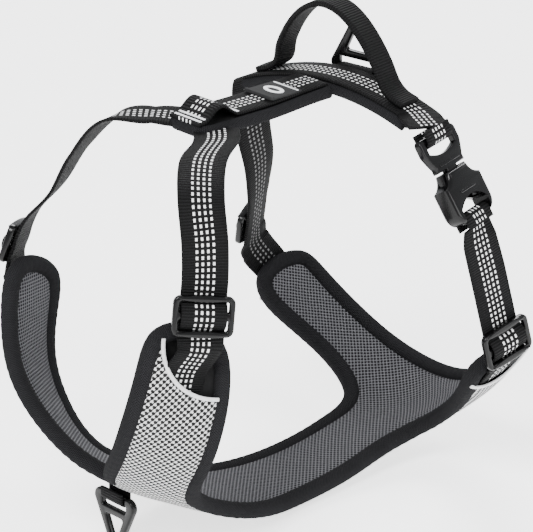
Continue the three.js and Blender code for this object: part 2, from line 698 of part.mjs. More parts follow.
// The room that the straps leave free: the plate itself, its covers outside the mouths, and the spine pad.
function strapKeepOut() {
  const inset = PLATE.bindingWidth + GAP;
  const body = toSolid(plateLayer([-12, PLATE.foam[1] + GAP], inset));
  const coverRange = [PLATE.cover[0] - GAP, PLATE.cover[1] + PIPING.rise + GAP];
  let roof = toSolid(plateLayer(coverRange, inset));
  for (const { kind, rows, order, side } of ARMS) {
    roof = roof.subtract(mouthPrism(kind, 2 * GAP + PIPING.width, pocketFrame(rows, order, side)));
  }
  const spineWidth = 2 * (SPINE.halfWidth + GAP);
  const spine = toSolid(block(spineWidth, SPINE.rear - SPINE.front + 2, 40, 0, (SPINE.rear + SPINE.front) / 2, 0));
  return { plate: body.add(roof).add(toSolid(plateBinding(2 * GAP))), spine };
}

function bandKeepOut() {
  const edge = BAND.halfWidth + GAP;
  bandGroup.updateMatrix();
  const strip = bandStrip(-edge, edge, BAND_BASE - 4, BAND_TOP + GAP, BAND.halfLength + GAP);
  return toSolid(strip.applyMatrix4(bandGroup.matrix));
}

function trimmed(geometry, solids) {
  const cut = solids.reduce((rest, solid) => rest.subtract(solid), toSolid(geometry));
  return fromSolid(cut.decompose().sort((a, b) => b.volume() - a.volume())[0]);
}

function addChestPlate() {
  const inset = PLATE.bindingWidth + 6 * GAP;
  add('chest_plate_lining', plateLayer(PLATE.lining, inset), LINING_GREY());
  add('chest_plate_foam', plateLayer(PLATE.foam, inset), FOAM_GREY());
  add('chest_plate_binding', plateBinding(), BINDING_BLACK());
  const raised = toSolid(plateLayer([PLATE.cover[0], PLATE.cover[1] + PIPING.rise], inset));
  let cover = toSolid(plateLayer(PLATE.cover, inset));
  for (const { name, kind, rows, order, side } of ARMS) {
    const frame = pocketFrame(rows, order, side);
    const mouth = mouthPrism(kind, 0, frame);
    const rim = mouthPrism(kind, GAP, frame).subtract(mouthPrism(kind, GAP + PIPING.width, frame));
    add(`${name}_pocket_piping`, fromSolid(raised.intersect(rim)), PIPING_SILVER());
    cover = cover.subtract(mouth);
  }
  add('chest_plate_cover', fromSolid(cover), COVER_MESH());
}

// ---- assembly -----------------------------------------------------------------------------------

function addSpine() {
  add('spine_pad', spinePad(), FOAM_GREY());
  add('spine_binding', spineBinding(), BINDING_BLACK());
  add('spine_webbing', spineWebbing(), WEBBING_BLACK());
  add('spine_label', label(), LABEL_GREY());
}

function addBand() {
  const edge = BAND.halfWidth;
  const inner = edge - BAND.binding;
  add('girth_band', bandStrip(-inner + GAP, inner - GAP, BAND_BASE, BAND_TOP), FOAM_GREY(), null, bandGroup);
  add('girth_band_front_binding', bandStrip(-edge, -inner, BAND_BASE, BAND_TOP), BINDING_BLACK(), null, bandGroup);
  add('girth_band_rear_binding', bandStrip(inner, edge, BAND_BASE, BAND_TOP), BINDING_BLACK(), null, bandGroup);
}

function bandPoint(x, height) {
  bandGroup.updateMatrix();
  return new THREE.Vector3(x, 0, bandHeight(x) + height).applyMatrix4(bandGroup.matrix).toArray();
}

function addHandle() {
  const start = Math.asin((HANDLE.split / (HANDLE.apex - HANDLE.pivotZ)) ** (1 / HANDLE.peak));
  add('handle_grip', handleArch(start, Math.PI - start, 8), WEBBING_BLACK(), null, bandGroup);
  add('handle_near_foot', handleFoot(1), WEBBING_BLACK(), null, bandGroup);
  add('handle_far_foot', handleFoot(-1), WEBBING_BLACK(), null, bandGroup);
}

function addRings() {
  const back = new THREE.Group();
  back.position.set(0, BAND.halfWidth + BACK_RING.behind, BACK_RING.barZ);
  bandGroup.add(back);
  const upright = new THREE.Matrix4().makeRotationX(-Math.PI / 2 + THREE.MathUtils.degToRad(BACK_RING.lean));
  add('back_ring', leashRing(BACK_RING), PLASTIC_BLACK(), upright, back);
  const forward = new THREE.Matrix4().makeRotationX(Math.PI);
  add('back_ring_tab', webbingFold(24, BACK_RING.behind - 2 * GAP, 4, 4), WEBBING_BLACK(), forward, back);
  const front = new THREE.Group();
  front.position.fromArray(FRONT_RING_BAR);
  model.add(front);
  const hanging = new THREE.Matrix4().makeRotationX(Math.PI / 2);
  add('front_ring', leashRing(FRONT_RING), PLASTIC_BLACK(), hanging, front);
  const rising = new THREE.Matrix4().makeRotationX(Math.PI / 2);
  add('front_ring_tab', webbingFold(18, 2.5, 4, 4), WEBBING_BLACK(), rising, front);
}

function addBuckle() {
  const up = BUCKLE_DOWN.map((value) => -value);
  const frame = strapFrame(BUCKLE_MOUTH, BUCKLE_WIDTH_DIRECTION, up);
  const moved = (y, turn) => frame.clone()
    .multiply(new THREE.Matrix4().makeTranslation(0, y, 0))
    .multiply(new THREE.Matrix4().makeRotationZ(turn));
  add('buckle_male', buckleMale(), PLASTIC_BLACK(), frame);
  add('buckle_front_prong', buckleProng(-1), PLASTIC_BLACK(), frame);
  add('buckle_rear_prong', buckleProng(1), PLASTIC_BLACK(), frame);
  add('buckle_female', buckleFemale(), PLASTIC_BLACK(), frame);
  add('buckle_male_fold', webbingFold(25, 4.5, 4, MALE_INSIDE), WEBBING_BLACK(), moved(BUCKLE.male - 2, 0));
  const femaleBar = -BUCKLE.female + FEMALE_BAR / 2;
  add('buckle_female_fold', webbingFold(25, 4.5, FEMALE_BAR, MALE_INSIDE), WEBBING_BLACK(), moved(femaleBar, Math.PI));
  const foldRoom = block(2 * BUCKLE.width, 12, 13, 0, BUCKLE.male - 3, 0).applyMatrix4(frame);
  const along = (y) => vector([0, y, 0]).applyMatrix4(frame).toArray();
  return { maleFold: toSolid(foldRoom), above: along(BUCKLE.male + 5), below: along(-BUCKLE.female - 4.6) };
}

function addStraps() {
  const { above, below, maleFold } = addBuckle();
  const keepOut = strapKeepOut();
  const top = BAND_TOP + 2 * GAP + WEBBING.thickness / 2;
  const bandAcross = [-Math.sin(bandGroup.rotation.z), Math.cos(bandGroup.rotation.z), 0];
  const end = BAND.halfLength - 1;
  const overBand = [-end, -38, -19, 0, 19, 38, end].map((x) => [bandPoint(x, top), bandAcross]);
  const toBuckle = [[between(bandPoint(end, top), above, 0.55), bandAcross], [above, BUCKLE_WIDTH_DIRECTION]];
  const farDown = [...FAR_GIRTH_ROUTE, ...pocketRoute(GIRTH_ARM, [5, 4, 3], -1)];
  const backRoute = [...farDown.map(([centre, across]) => [centre, across]).reverse(), ...overBand, ...toBuckle];
  add('back_webbing', trimmed(ribbon(backRoute), [keepOut.plate, bandKeepOut(), maleFold]), WEBBING_BLACK());
  const nearDown = [[below, BUCKLE_WIDTH_DIRECTION], ...NEAR_GIRTH_ROUTE, ...pocketRoute(GIRTH_ARM, [5, 4, 3], 1)];
  add('near_girth_webbing', trimmed(ribbon(nearDown), [keepOut.plate, sliderRoom(NEAR_GIRTH_ROUTE, 4)]), WEBBING_BLACK());
  const necks = [['near_neck_webbing', NEAR_NECK_ROUTE, 1], ['far_neck_webbing', FAR_NECK_ROUTE, -1]];
  for (const [name, route, side] of necks) {
    const whole = ribbon([...route, ...pocketRoute(NECK_ARM, [0, 1, 2], side).slice(1)]);
    add(name, trimmed(whole, [keepOut.plate, keepOut.spine]), WEBBING_BLACK());
  }
}

const upOf = (route, index) => vector(route[index - 1][0]).sub(vector(route[index + 1][0])).toArray();

function sliderRoom(route, index) {
  const frame = strapFrame(...route[index], upOf(route, index));
  const { width, length, depth, lift } = SLIDER;
  return toSolid(block(width + 2, length + 2, depth + 2 * GAP, 0, 0, lift).applyMatrix4(frame));
}

function addSliders() {
  addSlider('near_neck', NEAR_NECK_ROUTE[7], upOf(NEAR_NECK_ROUTE, 7));
  addSlider('near_girth', NEAR_GIRTH_ROUTE[4], upOf(NEAR_GIRTH_ROUTE, 4));
  const flipped = ([centre, across]) => [centre, across.map((value) => -value)];
  addSlider('far_neck', flipped(FAR_NECK_ROUTE[7]), upOf(FAR_NECK_ROUTE, 7));
  addSlider('far_girth', flipped(FAR_GIRTH_ROUTE[6]), upOf(FAR_GIRTH_ROUTE, 6));
}

addSpine();
addBand();
addHandle();
addRings();
addStraps();
addSliders();
addChestPlate();

export default model;
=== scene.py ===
"""Looks model of a no pull dog harness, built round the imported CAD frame.

Lengths are in millimetres until a mesh is made.
"""

import math

import bmesh
import bpy
import numpy as np
from mathutils import Matrix, Vector
from mathutils.bvhtree import BVHTree
from mathutils.kdtree import KDTree


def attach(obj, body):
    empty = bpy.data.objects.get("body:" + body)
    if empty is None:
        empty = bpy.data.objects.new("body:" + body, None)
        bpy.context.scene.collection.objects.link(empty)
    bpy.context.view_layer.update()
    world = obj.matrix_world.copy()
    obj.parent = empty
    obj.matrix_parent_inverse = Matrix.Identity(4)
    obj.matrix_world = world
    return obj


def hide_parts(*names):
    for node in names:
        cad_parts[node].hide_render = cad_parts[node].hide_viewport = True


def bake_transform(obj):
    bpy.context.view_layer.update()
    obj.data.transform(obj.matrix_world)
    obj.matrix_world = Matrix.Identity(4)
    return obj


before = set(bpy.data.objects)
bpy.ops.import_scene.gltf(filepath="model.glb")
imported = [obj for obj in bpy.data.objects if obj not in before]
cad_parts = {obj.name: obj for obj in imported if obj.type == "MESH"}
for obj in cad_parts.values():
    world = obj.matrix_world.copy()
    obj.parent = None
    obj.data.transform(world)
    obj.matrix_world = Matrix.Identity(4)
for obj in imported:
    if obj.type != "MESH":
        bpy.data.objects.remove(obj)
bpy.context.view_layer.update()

# ---- driving dimensions -------------------------------------------------------------------------

MM = 0.001
ROOT = "harness"
WEB_WIDTH, WEB_THICKNESS = 25.0, 1.6
SPINE_HALF, SPINE_FRONT, SPINE_REAR, SPINE_HEIGHT, SPINE_BINDING, SPINE_CORNER = 16, -55, 39, 6.5, 4.6, 9
BAND_Y, BAND_YAW, BAND_LENGTH, BAND_HALF, BAND_BASE, BAND_TOP, BAND_DROP = 57, 9, 56, 14, 2, 7.5, 11
BAND_BINDING = 4.4
LABEL_SIZE, LABEL_Y = 23, 10
ARCH_FRONT, ARCH_REAR, ARCH_HEIGHT = -50, -26, 7
HANDLE_WIDTH, HANDLE_THICKNESS, HANDLE_REACH, HANDLE_APEX = 16, 3, 37, 50
HANDLE_PIVOT, HANDLE_SKEW, HANDLE_PEAK, HANDLE_START = 12, 4, 1.7, 0.42
SLIDER = dict(width=33, length=22, depth=3.6, bar=4, end_bar=3.2, slot=26.6, corner=4, lift=3.3)
BUCKLE_WIDTH, BUCKLE_DEPTH, BUCKLE_MALE, BUCKLE_FEMALE, PRONG_REACH = 36, 11, 22, 30, 19
EDGE_WIDTH, EDGE_HALF = 8.4, 4.5
NECK_MOUTH, GIRTH_MOUTH, MOUTH_RISE, NECK_MOUTH_X = 35, 26, 20, 20
CLOTH_FRAMES, CUSHION_SIDES = 20, 20
BACK_RING = dict(half=19, height=32, depth=4, slot=26)
FRONT_RING = dict(half=16.5, height=31, depth=4, slot=20)
BACK_RING_BEHIND, BACK_RING_Z = 7, 4.8
FRONT_RING_BAR = (0, -106, -198.2)

# Control cage of the chest plate's middle surface, near half; every row runs from front to rear.
# Fitted values: 34 of the 44 points are the rounded output of a least-squares fit, and the other
# 10, all in GIRTH_ARM, were then moved.
NECK_ARM = [
    [(58, -131, -74), (65, -109, -72), (68, -86, -88)],
    [(56, -136, -98), (67, -113, -101), (74, -87, -111)],
    [(47, -141, -132), (63, -117, -134), (74, -93, -139)],
    [(26, -132, -160), (48, -114, -163), (63, -93, -165)],
    [(8, -122, -176), (29, -106, -185), (39, -88, -195)],
    [(0, -109, -184), (0, -99, -193), (0, -83, -200)],
]
BELLY = [
    [(38, -32, -221), (0, -48, -219)],
    [(30, 5, -225), (0, -5, -225)],
    [(28, 46, -223), (0, 38, -223)],
    [(26, 76, -215), (0, 70, -216)],
]
GIRTH_ARM = [
    [(0, 105, -218), (0, 126, -209), (0, 146, -194)],
    [(30, 101, -209), (31, 121, -200), (31, 140, -186)],
    [(51, 99, -190), (53, 117, -186), (53, 134, -173)],
    [(70, 87, -172), (74, 108, -171), (73, 127, -157)],
    [(84, 77, -158), (89, 100, -155), (87, 123, -145)],
    [(91, 78, -144), (95, 96, -137), (93, 116, -137)],
]

# Strap routes: each row is a centre point and the direction of the webbing's width.
SLANT = (0.5, 0.866, 0)
NEAR_NECK_ROUTE = [
    [(13, -43, 3), (0, 1, 0)], [(27, -55, 3.5), (0, 1, 0)], [(48, -83, 3), (0.35, 0.93, 0.05)],
    [(65, -99, -8), SLANT], [(73, -103.5, -30), SLANT], [(74.6, -105, -48), SLANT],
    [(75.2, -106.6, -57.5), SLANT], [(75.8, -108.2, -67), SLANT],
    [(76.4, -109.8, -76.5), SLANT], [(76.6, -111, -86), (0.45, 0.89, 0)],
]
FAR_SLANT = (-0.5, 0.866, 0)
FAR_NECK_ROUTE = [
    [(-13, -42, 3), (0, 1, 0)], [(-26, -54, 4), (0, 1, 0)], [(-42, -70, 2), (-0.2, 0.98, 0)],
    [(-57, -81, -18), (-0.4, 0.9, 0)], [(-66, -90, -40), FAR_SLANT], [(-73, -101, -54), FAR_SLANT],
    [(-75, -105.4, -62), FAR_SLANT], [(-76.2, -108, -70), FAR_SLANT],
    [(-77.4, -110.6, -78), FAR_SLANT], [(-76.6, -111.5, -87), (-0.45, 0.89, 0)],
]
FAR_GIRTH_ROUTE = [
    [(-60.5, 48.6, -6), (0.12, 0.99, 0)], [(-65, 51, -19), (0.1, 0.99, 0)], [(-68, 56, -40), (0, 1, 0)],
    [(-73, 65, -64), (-0.15, 0.98, 0.1)], [(-80, 71, -85), (-0.35, 0.93, 0.1)],
    [(-84, 73.3, -95.5), (-0.4, 0.91, 0.1)], [(-88, 75.6, -106), (-0.4, 0.91, 0.1)],
    [(-92, 77.9, -116.5), (-0.4, 0.91, 0.1)], [(-98, 84, -128), (-0.2, 0.97, 0.15)],
]
NEAR_GIRTH_ROUTE = [
    [(102, 69.5, -64), (0, 1, 0)], [(103.8, 74.5, -84), (0.05, 0.99, 0.1)],
    [(105.2, 79, -103), (0.05, 0.98, 0.12)], [(105.9, 81.8, -114.5), (0.05, 0.98, 0.15)],
    [(106.6, 84.6, -126), (0.05, 0.98, 0.15)], [(107.3, 87.4, -137.5), (0.05, 0.98, 0.15)],
]
BUCKLE_MOUTH = (84.5, 63, -26)
BUCKLE_ACROSS = (-0.24, 0.97, 0.02)
BUCKLE_UP = (-0.478, -0.159, 0.863)


# ---- materials ----------------------------------------------------------------------------------

class Shader:
    """One Principled material and short calls that add its nodes."""

    def __init__(self, name, roughness, specular=0.15):
        self.material = bpy.data.materials.new(name)
        self.material.use_nodes = True
        self.tree = self.material.node_tree
        self.surface = self.tree.nodes["Principled BSDF"]
        self.surface.inputs["Roughness"].default_value = roughness
        self.surface.inputs["Specular IOR Level"].default_value = specular
        self.uv = None

    def link(self, value, socket):
        if isinstance(value, bpy.types.NodeSocket):
            self.tree.links.new(value, socket)
        else:
            socket.default_value = value

    def math(self, operation, a, b=0.0, clamp=False):
        node = self.tree.nodes.new("ShaderNodeMath")
        node.operation = operation
        node.use_clamp = clamp
        self.link(a, node.inputs[0])
        self.link(b, node.inputs[1])
        return node.outputs[0]

    def add(self, a, b):
        return self.math("ADD", a, b)

    def times(self, a, b):
        return self.math("MULTIPLY", a, b)

    def wave(self, value, pitch):
        """A sine that repeats every pitch."""
        return self.math("SINE", self.times(value, 2 * math.pi / pitch))

    def coordinates(self):
        """U and V in millimetres."""
        if self.uv is None:
            source = self.tree.nodes.new("ShaderNodeUVMap")
            source.uv_map = "UVMap"
            split = self.tree.nodes.new("ShaderNodeSeparateXYZ")
            self.tree.links.new(source.outputs[0], split.inputs[0])
            self.uv = split.outputs[0], split.outputs[1]
        return self.uv

    def noise(self, scale, detail=3.0):
        where = self.tree.nodes.new("ShaderNodeTexCoord")
        node = self.tree.nodes.new("ShaderNodeTexNoise")
        node.inputs["Scale"].default_value = scale
        node.inputs["Detail"].default_value = detail
        self.tree.links.new(where.outputs["Object"], node.inputs["Vector"])
        return node.outputs["Fac"]

    def step(self, value, low, high):
        """0 below low, 1 above high."""
        node = self.tree.nodes.new("ShaderNodeMapRange")
        node.interpolation_type = "SMOOTHSTEP"
        self.link(value, node.inputs["Value"])
        node.inputs["From Min"].default_value = low
        node.inputs["From Max"].default_value = high
        return node.outputs[0]

    def mix(self, factor, a, b):
        node = self.tree.nodes.new("ShaderNodeMix")
        node.data_type = "RGBA"
        self.link(factor, node.inputs[0])
        self.link(a, node.inputs[6])
        self.link(b, node.inputs[7])
        return node.outputs[2]

    def cell(self, value, pitch):
        """Distance from the middle of the repeat that value falls in."""
        within = self.math("FLOORED_MODULO", value, pitch)
        return self.math("ABSOLUTE", self.math("SUBTRACT", within, pitch / 2))

    def finish(self, color, height=None, distance=0.0003, strength=1.0):
        """Sets the colour and, from height, a bump whose distance is in metres."""
        self.link(color, self.surface.inputs["Base Color"])
        if height is not None:
            bump = self.tree.nodes.new("ShaderNodeBump")
            bump.inputs["Distance"].default_value = distance
            bump.inputs["Strength"].default_value = strength
            self.tree.links.new(height, bump.inputs["Height"])
            self.tree.links.new(bump.outputs[0], self.surface.inputs["Normal"])
        return self.material


def grey(value, tint=1.0):
    return (value, value, value * tint, 1.0)


def webbing_material(name, dash=None):
    """Ribbed nylon; dash is the brightness of the woven reflective dashes, or None."""
    base, column_pitch, row_pitch, dashed_half = 0.0035, 3.0, 3.3, 5.9
    shader = Shader(name, roughness=0.7, specular=0.07)
    u, v = shader.coordinates()
    rib = shader.wave(v, 1.55)
    weave = shader.wave(u, 0.9)
    height = shader.add(rib, shader.times(weave, 0.25))
    fibre = shader.noise(900)
    # Painted shade: the rib crests are painted lighter and the grooves between them darker, following the
    # bump.
    color = shader.mix(shader.step(rib, -1, 1), grey(base * 0.55), grey(base * 1.9, 1.05))
    color = shader.mix(shader.times(fibre, 0.5), color, grey(base * 1.2))
    if dash is not None:
        column = shader.step(shader.cell(shader.add(u, 2 * column_pitch), column_pitch), 0.5, 0.72)
        row = shader.step(shader.cell(v, row_pitch), 0.75, 0.98)
        outside = shader.step(shader.math("ABSOLUTE", u), dashed_half, dashed_half + 0.15)
        off = shader.math("MAXIMUM", shader.math("MAXIMUM", column, row), outside)
        mask = shader.math("SUBTRACT", 1.0, off, clamp=True)
        thread = shader.mix(fibre, grey(dash * 0.8), grey(dash))
        color = shader.mix(mask, color, thread)
        height = shader.add(height, shader.times(mask, 1.2))
    return shader.finish(color, height, 0.00025, 0.8)


def binding_material():
    """Two crossed rows of loops over a soft cloud."""
    shader = Shader("binding_knit", roughness=0.95, specular=0.05)
    u, v = shader.coordinates()
    rows = shader.wave(v, 0.9)
    loops = shader.wave(shader.add(u, v), 1.3)
    height = shader.add(rows, loops)
    cloud = shader.noise(60)
    color = shader.mix(cloud, grey(0.004, 1.08), grey(0.010, 1.08))
    # Painted highlight and painted shade: the raised loops are painted lighter than the hollows between them,
    # following the bump.
    color = shader.mix(shader.step(height, -1.5, 1.8), color, grey(0.020, 1.08))
    return shader.finish(color, height, 0.00024, 0.9)


def lining_material():
    """Grey spacer mesh with staggered round holes."""
    shader = Shader("lining_mesh", roughness=0.9, specular=0.1)
    u, v = shader.coordinates()
    pitch, holes = 2.8, []
    for shift in (0.0, pitch / 2):
        du = shader.cell(shader.add(u, shift), pitch)
        dv = shader.cell(shader.add(v, shift), pitch)
        squares = [shader.times(d, d) for d in (du, dv)]
        holes.append(shader.math("SQRT", shader.add(*squares)))
    land = shader.step(shader.math("MINIMUM", *holes), 0.5, 0.9)
    knit = shader.wave(v, 0.7)
    fibre = shader.noise(700)
    cloth = shader.mix(fibre, (0.06, 0.06, 0.065, 1), (0.125, 0.125, 0.133, 1))
    color = shader.mix(land, (0.006, 0.006, 0.007, 1), cloth)
    height = shader.add(shader.times(land, 3.0), shader.times(knit, 0.15))
    return shader.finish(color, height, 0.00025, 0.9)


def cover_material():
    """Black and white jacquard with a diagonal lattice."""
    shader = Shader("cover_jacquard", roughness=0.75)
    u, v = shader.coordinates()
    lattice_pitch = 5.2
    rising = shader.wave(shader.add(u, v), lattice_pitch)
    falling = shader.wave(shader.math("SUBTRACT", u, v), lattice_pitch)
    lattice = shader.times(rising, falling)
    thread = shader.wave(v, 1.3)
    level = shader.add(lattice, shader.times(thread, 0.28))
    white = shader.step(level, 0.04, 0.3)
    fibre = shader.noise(800)
    color = shader.mix(white, grey(0.004), shader.mix(fibre, grey(0.4), grey(0.75)))
    return shader.finish(color, shader.add(level, white), 0.00025, 0.8)


def plastic_material():
    """Near black, with uneven gloss."""
    shader = Shader("black_acetal", roughness=0.3, specular=0.2)
    grain = shader.noise(1400, 2)
    smudge = shader.noise(90)
    color = shader.mix(smudge, grey(0.0012), grey(0.0025, 1.05))
    roughness = shader.add(shader.times(smudge, 0.1), 0.16)
    shader.link(roughness, shader.surface.inputs["Roughness"])
    return shader.finish(color, grain, 0.00004, 0.5)


def piping_material():
    """Bright cord with a fine twist."""
    shader = Shader("silver_piping", roughness=0.42)
    _, v = shader.coordinates()
    grain = shader.wave(v, 0.6)
    cloud = shader.noise(300)
    return shader.finish(shader.mix(cloud, grey(0.5), grey(0.72)), grain, 0.0001, 0.5)


def fabric_material(name, low, high, scale=500.0):
    """Plain weave whose brightness wanders between low and high."""
    shader = Shader(name, roughness=0.85, specular=0.12)
    u, v = shader.coordinates()
    across = shader.wave(u, 0.8)
    along = shader.wave(v, 0.8)
    color = shader.mix(shader.noise(scale), grey(low), grey(high, 1.04))
    return shader.finish(color, shader.times(across, along), 0.00015, 0.7)


WEBBING = webbing_material("webbing_reflective", 0.86)
WEBBING_DIM = webbing_material("webbing_dim_dashes", 0.16)
WEBBING_PLAIN = webbing_material("webbing_plain")
BINDING = binding_material()
LINING = lining_material()
COVER = cover_material()
PLASTIC = plastic_material()
PIPING = piping_material()
PAD_BLACK = fabric_material("pad_black", 0.003, 0.008)
LABEL_CLOTH = fabric_material("label_cloth", 0.012, 0.024)
WHITE_THREAD = fabric_material("white_thread", 0.6, 0.82, 900)
DARK_THREAD = fabric_material("dark_thread", 0.006, 0.014, 900)


# ---- mesh helpers -------------------------------------------------------------------------------

def unit(vector):
    vector = np.asarray(vector, float)
    return vector / np.linalg.norm(vector)


def mirrored(point):
    return (-point[0], point[1], point[2])


def strap_frame(origin, across, up):
    """X across the webbing, Y up along the strap, Z away from the dog."""
    y = unit(up)
    x = unit(np.asarray(across, float) - y * np.dot(across, y))
    matrix = np.identity(4)
    matrix[:3, 0], matrix[:3, 1], matrix[:3, 2], matrix[:3, 3] = x, y, np.cross(x, y), origin
    return matrix


def moved(matrix, x=0.0, y=0.0, z=0.0):
    return matrix @ np.array(Matrix.Translation((x, y, z)))


def turned(matrix, degrees, axis):
    return matrix @ np.array(Matrix.Rotation(math.radians(degrees), 4, axis))


def placed(points, matrix):
    points = np.asarray(points, float)
    return points @ matrix[:3, :3].T + matrix[:3, 3]


def band_matrix():
    return turned(moved(np.identity(4), y=BAND_Y), BAND_YAW, "Z")


def add_object(name, data):
    obj = bpy.data.objects.new(name, data)
    bpy.context.scene.collection.objects.link(obj)
    return obj


def select(objects):
    """Selects just these and makes the first one active."""
    bpy.ops.object.select_all(action="DESELECT")
    for obj in objects:
        obj.select_set(True)
    bpy.context.view_layer.objects.active = objects[0]


def apply_modifier(obj, modifier):
    bpy.context.view_layer.objects.active = obj
    bpy.ops.object.modifier_apply(modifier=modifier.name)


def make(name, vertices, faces, materials, loop_uv=None, face_material=None):
    """A smooth-shaded object from millimetre vertices; loop_uv has one pair per face corner."""
    mesh = bpy.data.meshes.new(name)
    corners = [list(map(int, face)) for face in faces]
    mesh.from_pydata((np.asarray(vertices, float) * MM).tolist(), [], corners)
    for material in materials:
        mesh.materials.append(material)
    if face_material is not None:
        mesh.polygons.foreach_set("material_index", face_material)
    layer = mesh.uv_layers.new(name="UVMap")
    if loop_uv is not None:
        layer.data.foreach_set("uv", np.asarray(loop_uv, float).ravel())
    shape = bmesh.new()
    shape.from_mesh(mesh)
    bmesh.ops.recalc_face_normals(shape, faces=shape.faces)
    shape.to_mesh(mesh)
    shape.free()
    mesh.polygons.foreach_set("use_smooth", [True] * len(mesh.polygons))
    return add_object(name, mesh)


def stand_for(obj, body, *nodes, slot=None):
    """Fixes the piece to a body, in place of the CAD nodes it shows."""
    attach(obj, body)
    if nodes:
        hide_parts(*nodes)
    return obj


def sweep(name, rings, section_u, path_v, materials, side_material=None, closed=False):
    """Skins rings of section points.

    section_u has one value more than a ring. path_v has one value per ring, and one more if closed.
    """
    rings = np.asarray(rings, float)
    count, size = rings.shape[:2]
    faces, uvs, index = [], [], []
    spans = count if closed else count - 1
    for i in range(spans):
        j = (i + 1) % count
        for k in range(size):
            n = (k + 1) % size
            faces.append((i * size + k, i * size + n, j * size + n, j * size + k))
            uvs += [(section_u[k], path_v[i]), (section_u[k + 1], path_v[i]),
                    (section_u[k + 1], path_v[i + 1]), (section_u[k], path_v[i + 1])]
            index.append(side_material[k] if side_material else 0)
    if not closed:
        for i in (0, count - 1):
            faces.append(tuple(i * size + k for k in range(size)))
            uvs += [(section_u[k], path_v[i]) for k in range(size)]
            index.append(0)
    return make(name, rings.reshape(-1, 3), faces, materials, uvs, index)


def lengths_along(points, closed=False):
    points = np.asarray(points, float)
    if closed:
        points = np.vstack([points, points[:1]])
    steps = np.linalg.norm(np.diff(points, axis=0), axis=1)
    return np.concatenate([[0.0], np.cumsum(steps)])


def curve_point(points, t):
    """Centripetal Catmull-Rom through the points, t from 0 to 1 with equal shares per span."""
    last = len(points) - 1
    span = min(int(t * last), last - 1)
    part = t * last - span
    p1, p2 = points[span], points[span + 1]
    p0 = points[span - 1] if span else 2 * p1 - p2
    p3 = points[span + 2] if span + 2 <= last else 2 * p2 - p1
    d0, d1, d2 = (max(np.linalg.norm(b - a) ** 0.5, 1e-4) for a, b in ((p0, p1), (p1, p2), (p2, p3)))
    m1 = ((p1 - p0) / d0 - (p2 - p0) / (d0 + d1) + (p2 - p1) / d1) * d1
    m2 = ((p2 - p1) / d1 - (p3 - p1) / (d1 + d2) + (p3 - p2) / d2) * d1
    s2, s3 = part * part, part ** 3
    return (2 * s3 - 3 * s2 + 1) * p1 + (s3 - 2 * s2 + part) * m1 + (3 * s2 - 2 * s3) * p2 + (s3 - s2) * m2


def web_section(width, thickness, crown=0.12):
    """Flat section with soft edges.

    Gives its (across, height) pairs, their u values for sweep, and the side each strip of it is on.
    """
    columns = np.linspace(-1, 1, 9) * (width / 2 - 0.4)
    top = [(x, thickness / 2 + crown * (1 - (2 * x / width) ** 2)) for x in columns]
    section = [(-width / 2, 0.0)] + top + [(width / 2, 0.0)] + [(x, -h) for x, h in reversed(top)]
    section_u = [a for a, _ in section] + [section[0][0]]
    sides = [0] * (len(section) // 2) + [1] * (len(section) // 2)
    return section, section_u, sides


def ribbon_rings(route, section, steps):
    """The section carried along the route, its width turned evenly from row to row."""
    points = [np.asarray(centre, float) for centre, _ in route]
    widths = [np.asarray(across, float) for _, across in route]
    spans = len(route) - 1
    rings, centres = [], []
    for i in range(spans * steps + 1):
        t = i / (spans * steps)
        span = min(int(t * spans), spans - 1)
        part = t * spans - span
        centre = curve_point(points, t)
        ahead = curve_point(points, min(t + 1e-4, 1))
        behind = curve_point(points, max(t - 1e-4, 0))
        tangent = unit(ahead - behind)
        across = widths[span] * (1 - part) + widths[span + 1] * part
        across = unit(across - tangent * np.dot(across, tangent))
        normal = np.cross(across, tangent)
        rings.append([centre + across * a + normal * h for a, h in section])
        centres.append(centre)
    return rings, centres


def ribbon(name, route, front, back=None, width=WEB_WIDTH, thickness=WEB_THICKNESS, steps=10):
    """A strap; front is the material of the side that across x direction points to."""
    section, section_u, sides = web_section(width, thickness)
    rings, centres = ribbon_rings(route, section, steps)
    return sweep(name, rings, section_u, lengths_along(centres), [front, back or front], sides)


def folded_web(name, path, width, thickness, matrix, materials, outward):
    """Short webbing along (y, z) points of the matrix's own plane; outward is 1 or -1."""
    section, section_u, sides = web_section(width, thickness, 0.05)
    rings, centres = [], np.array(path)
    for i, (y, z) in enumerate(path):
        before, after = centres[max(i - 1, 0)], centres[min(i + 1, len(path) - 1)]
        ty, tz = unit(after - before) * outward
        rings.append(placed([(a, y + tz * h, z - ty * h) for a, h in section], matrix))
    return sweep(name, rings, section_u, lengths_along(centres), materials, sides)


def tube(name, points, radius, material, sides=8, closed=False, squash=(1.0, 1.0), ups=None):
    """A round or oval cord along the points."""
    points = np.asarray(points, float)
    count = len(points)
    angles = np.arange(sides) * 2 * math.pi / sides
    rings = []
    for i in range(count):
        before = points[(i - 1) % count] if closed or i else points[i]
        after = points[(i + 1) % count] if closed or i < count - 1 else points[i]
        tangent = unit(after - before)
        up = np.asarray(ups[i] if ups is not None else (0, 0, 1), float)
        side = np.cross(tangent, up)
        side = unit(side) if np.linalg.norm(side) > 1e-3 else unit(np.cross(tangent, (0, 1, 0)))
        lift = np.cross(side, tangent)
        rings.append([points[i] + radius * (math.cos(a) * squash[0] * side + math.sin(a) * squash[1] * lift)
                      for a in angles])
    section_u = np.arange(sides + 1) * 2 * math.pi * radius / sides
    return sweep(name, rings, section_u, lengths_along(points, closed), [material], closed=closed)


def joined(name, objects):
    """One object from several, keeping their materials."""
    select(objects)
    bpy.ops.object.join()
    objects[0].name = name
    return objects[0]


def arc(x, y, radius, start, end, count=10):
    return [(x + radius * math.cos(a), y + radius * math.sin(a)) for a in np.linspace(start, end, count)]


def oval(x, y, half_width, half_height, count=40):
    angles = np.linspace(0, 2 * math.pi, count, endpoint=False)
    return [(x + half_width * math.cos(a), y + half_height * math.sin(a)) for a in angles]


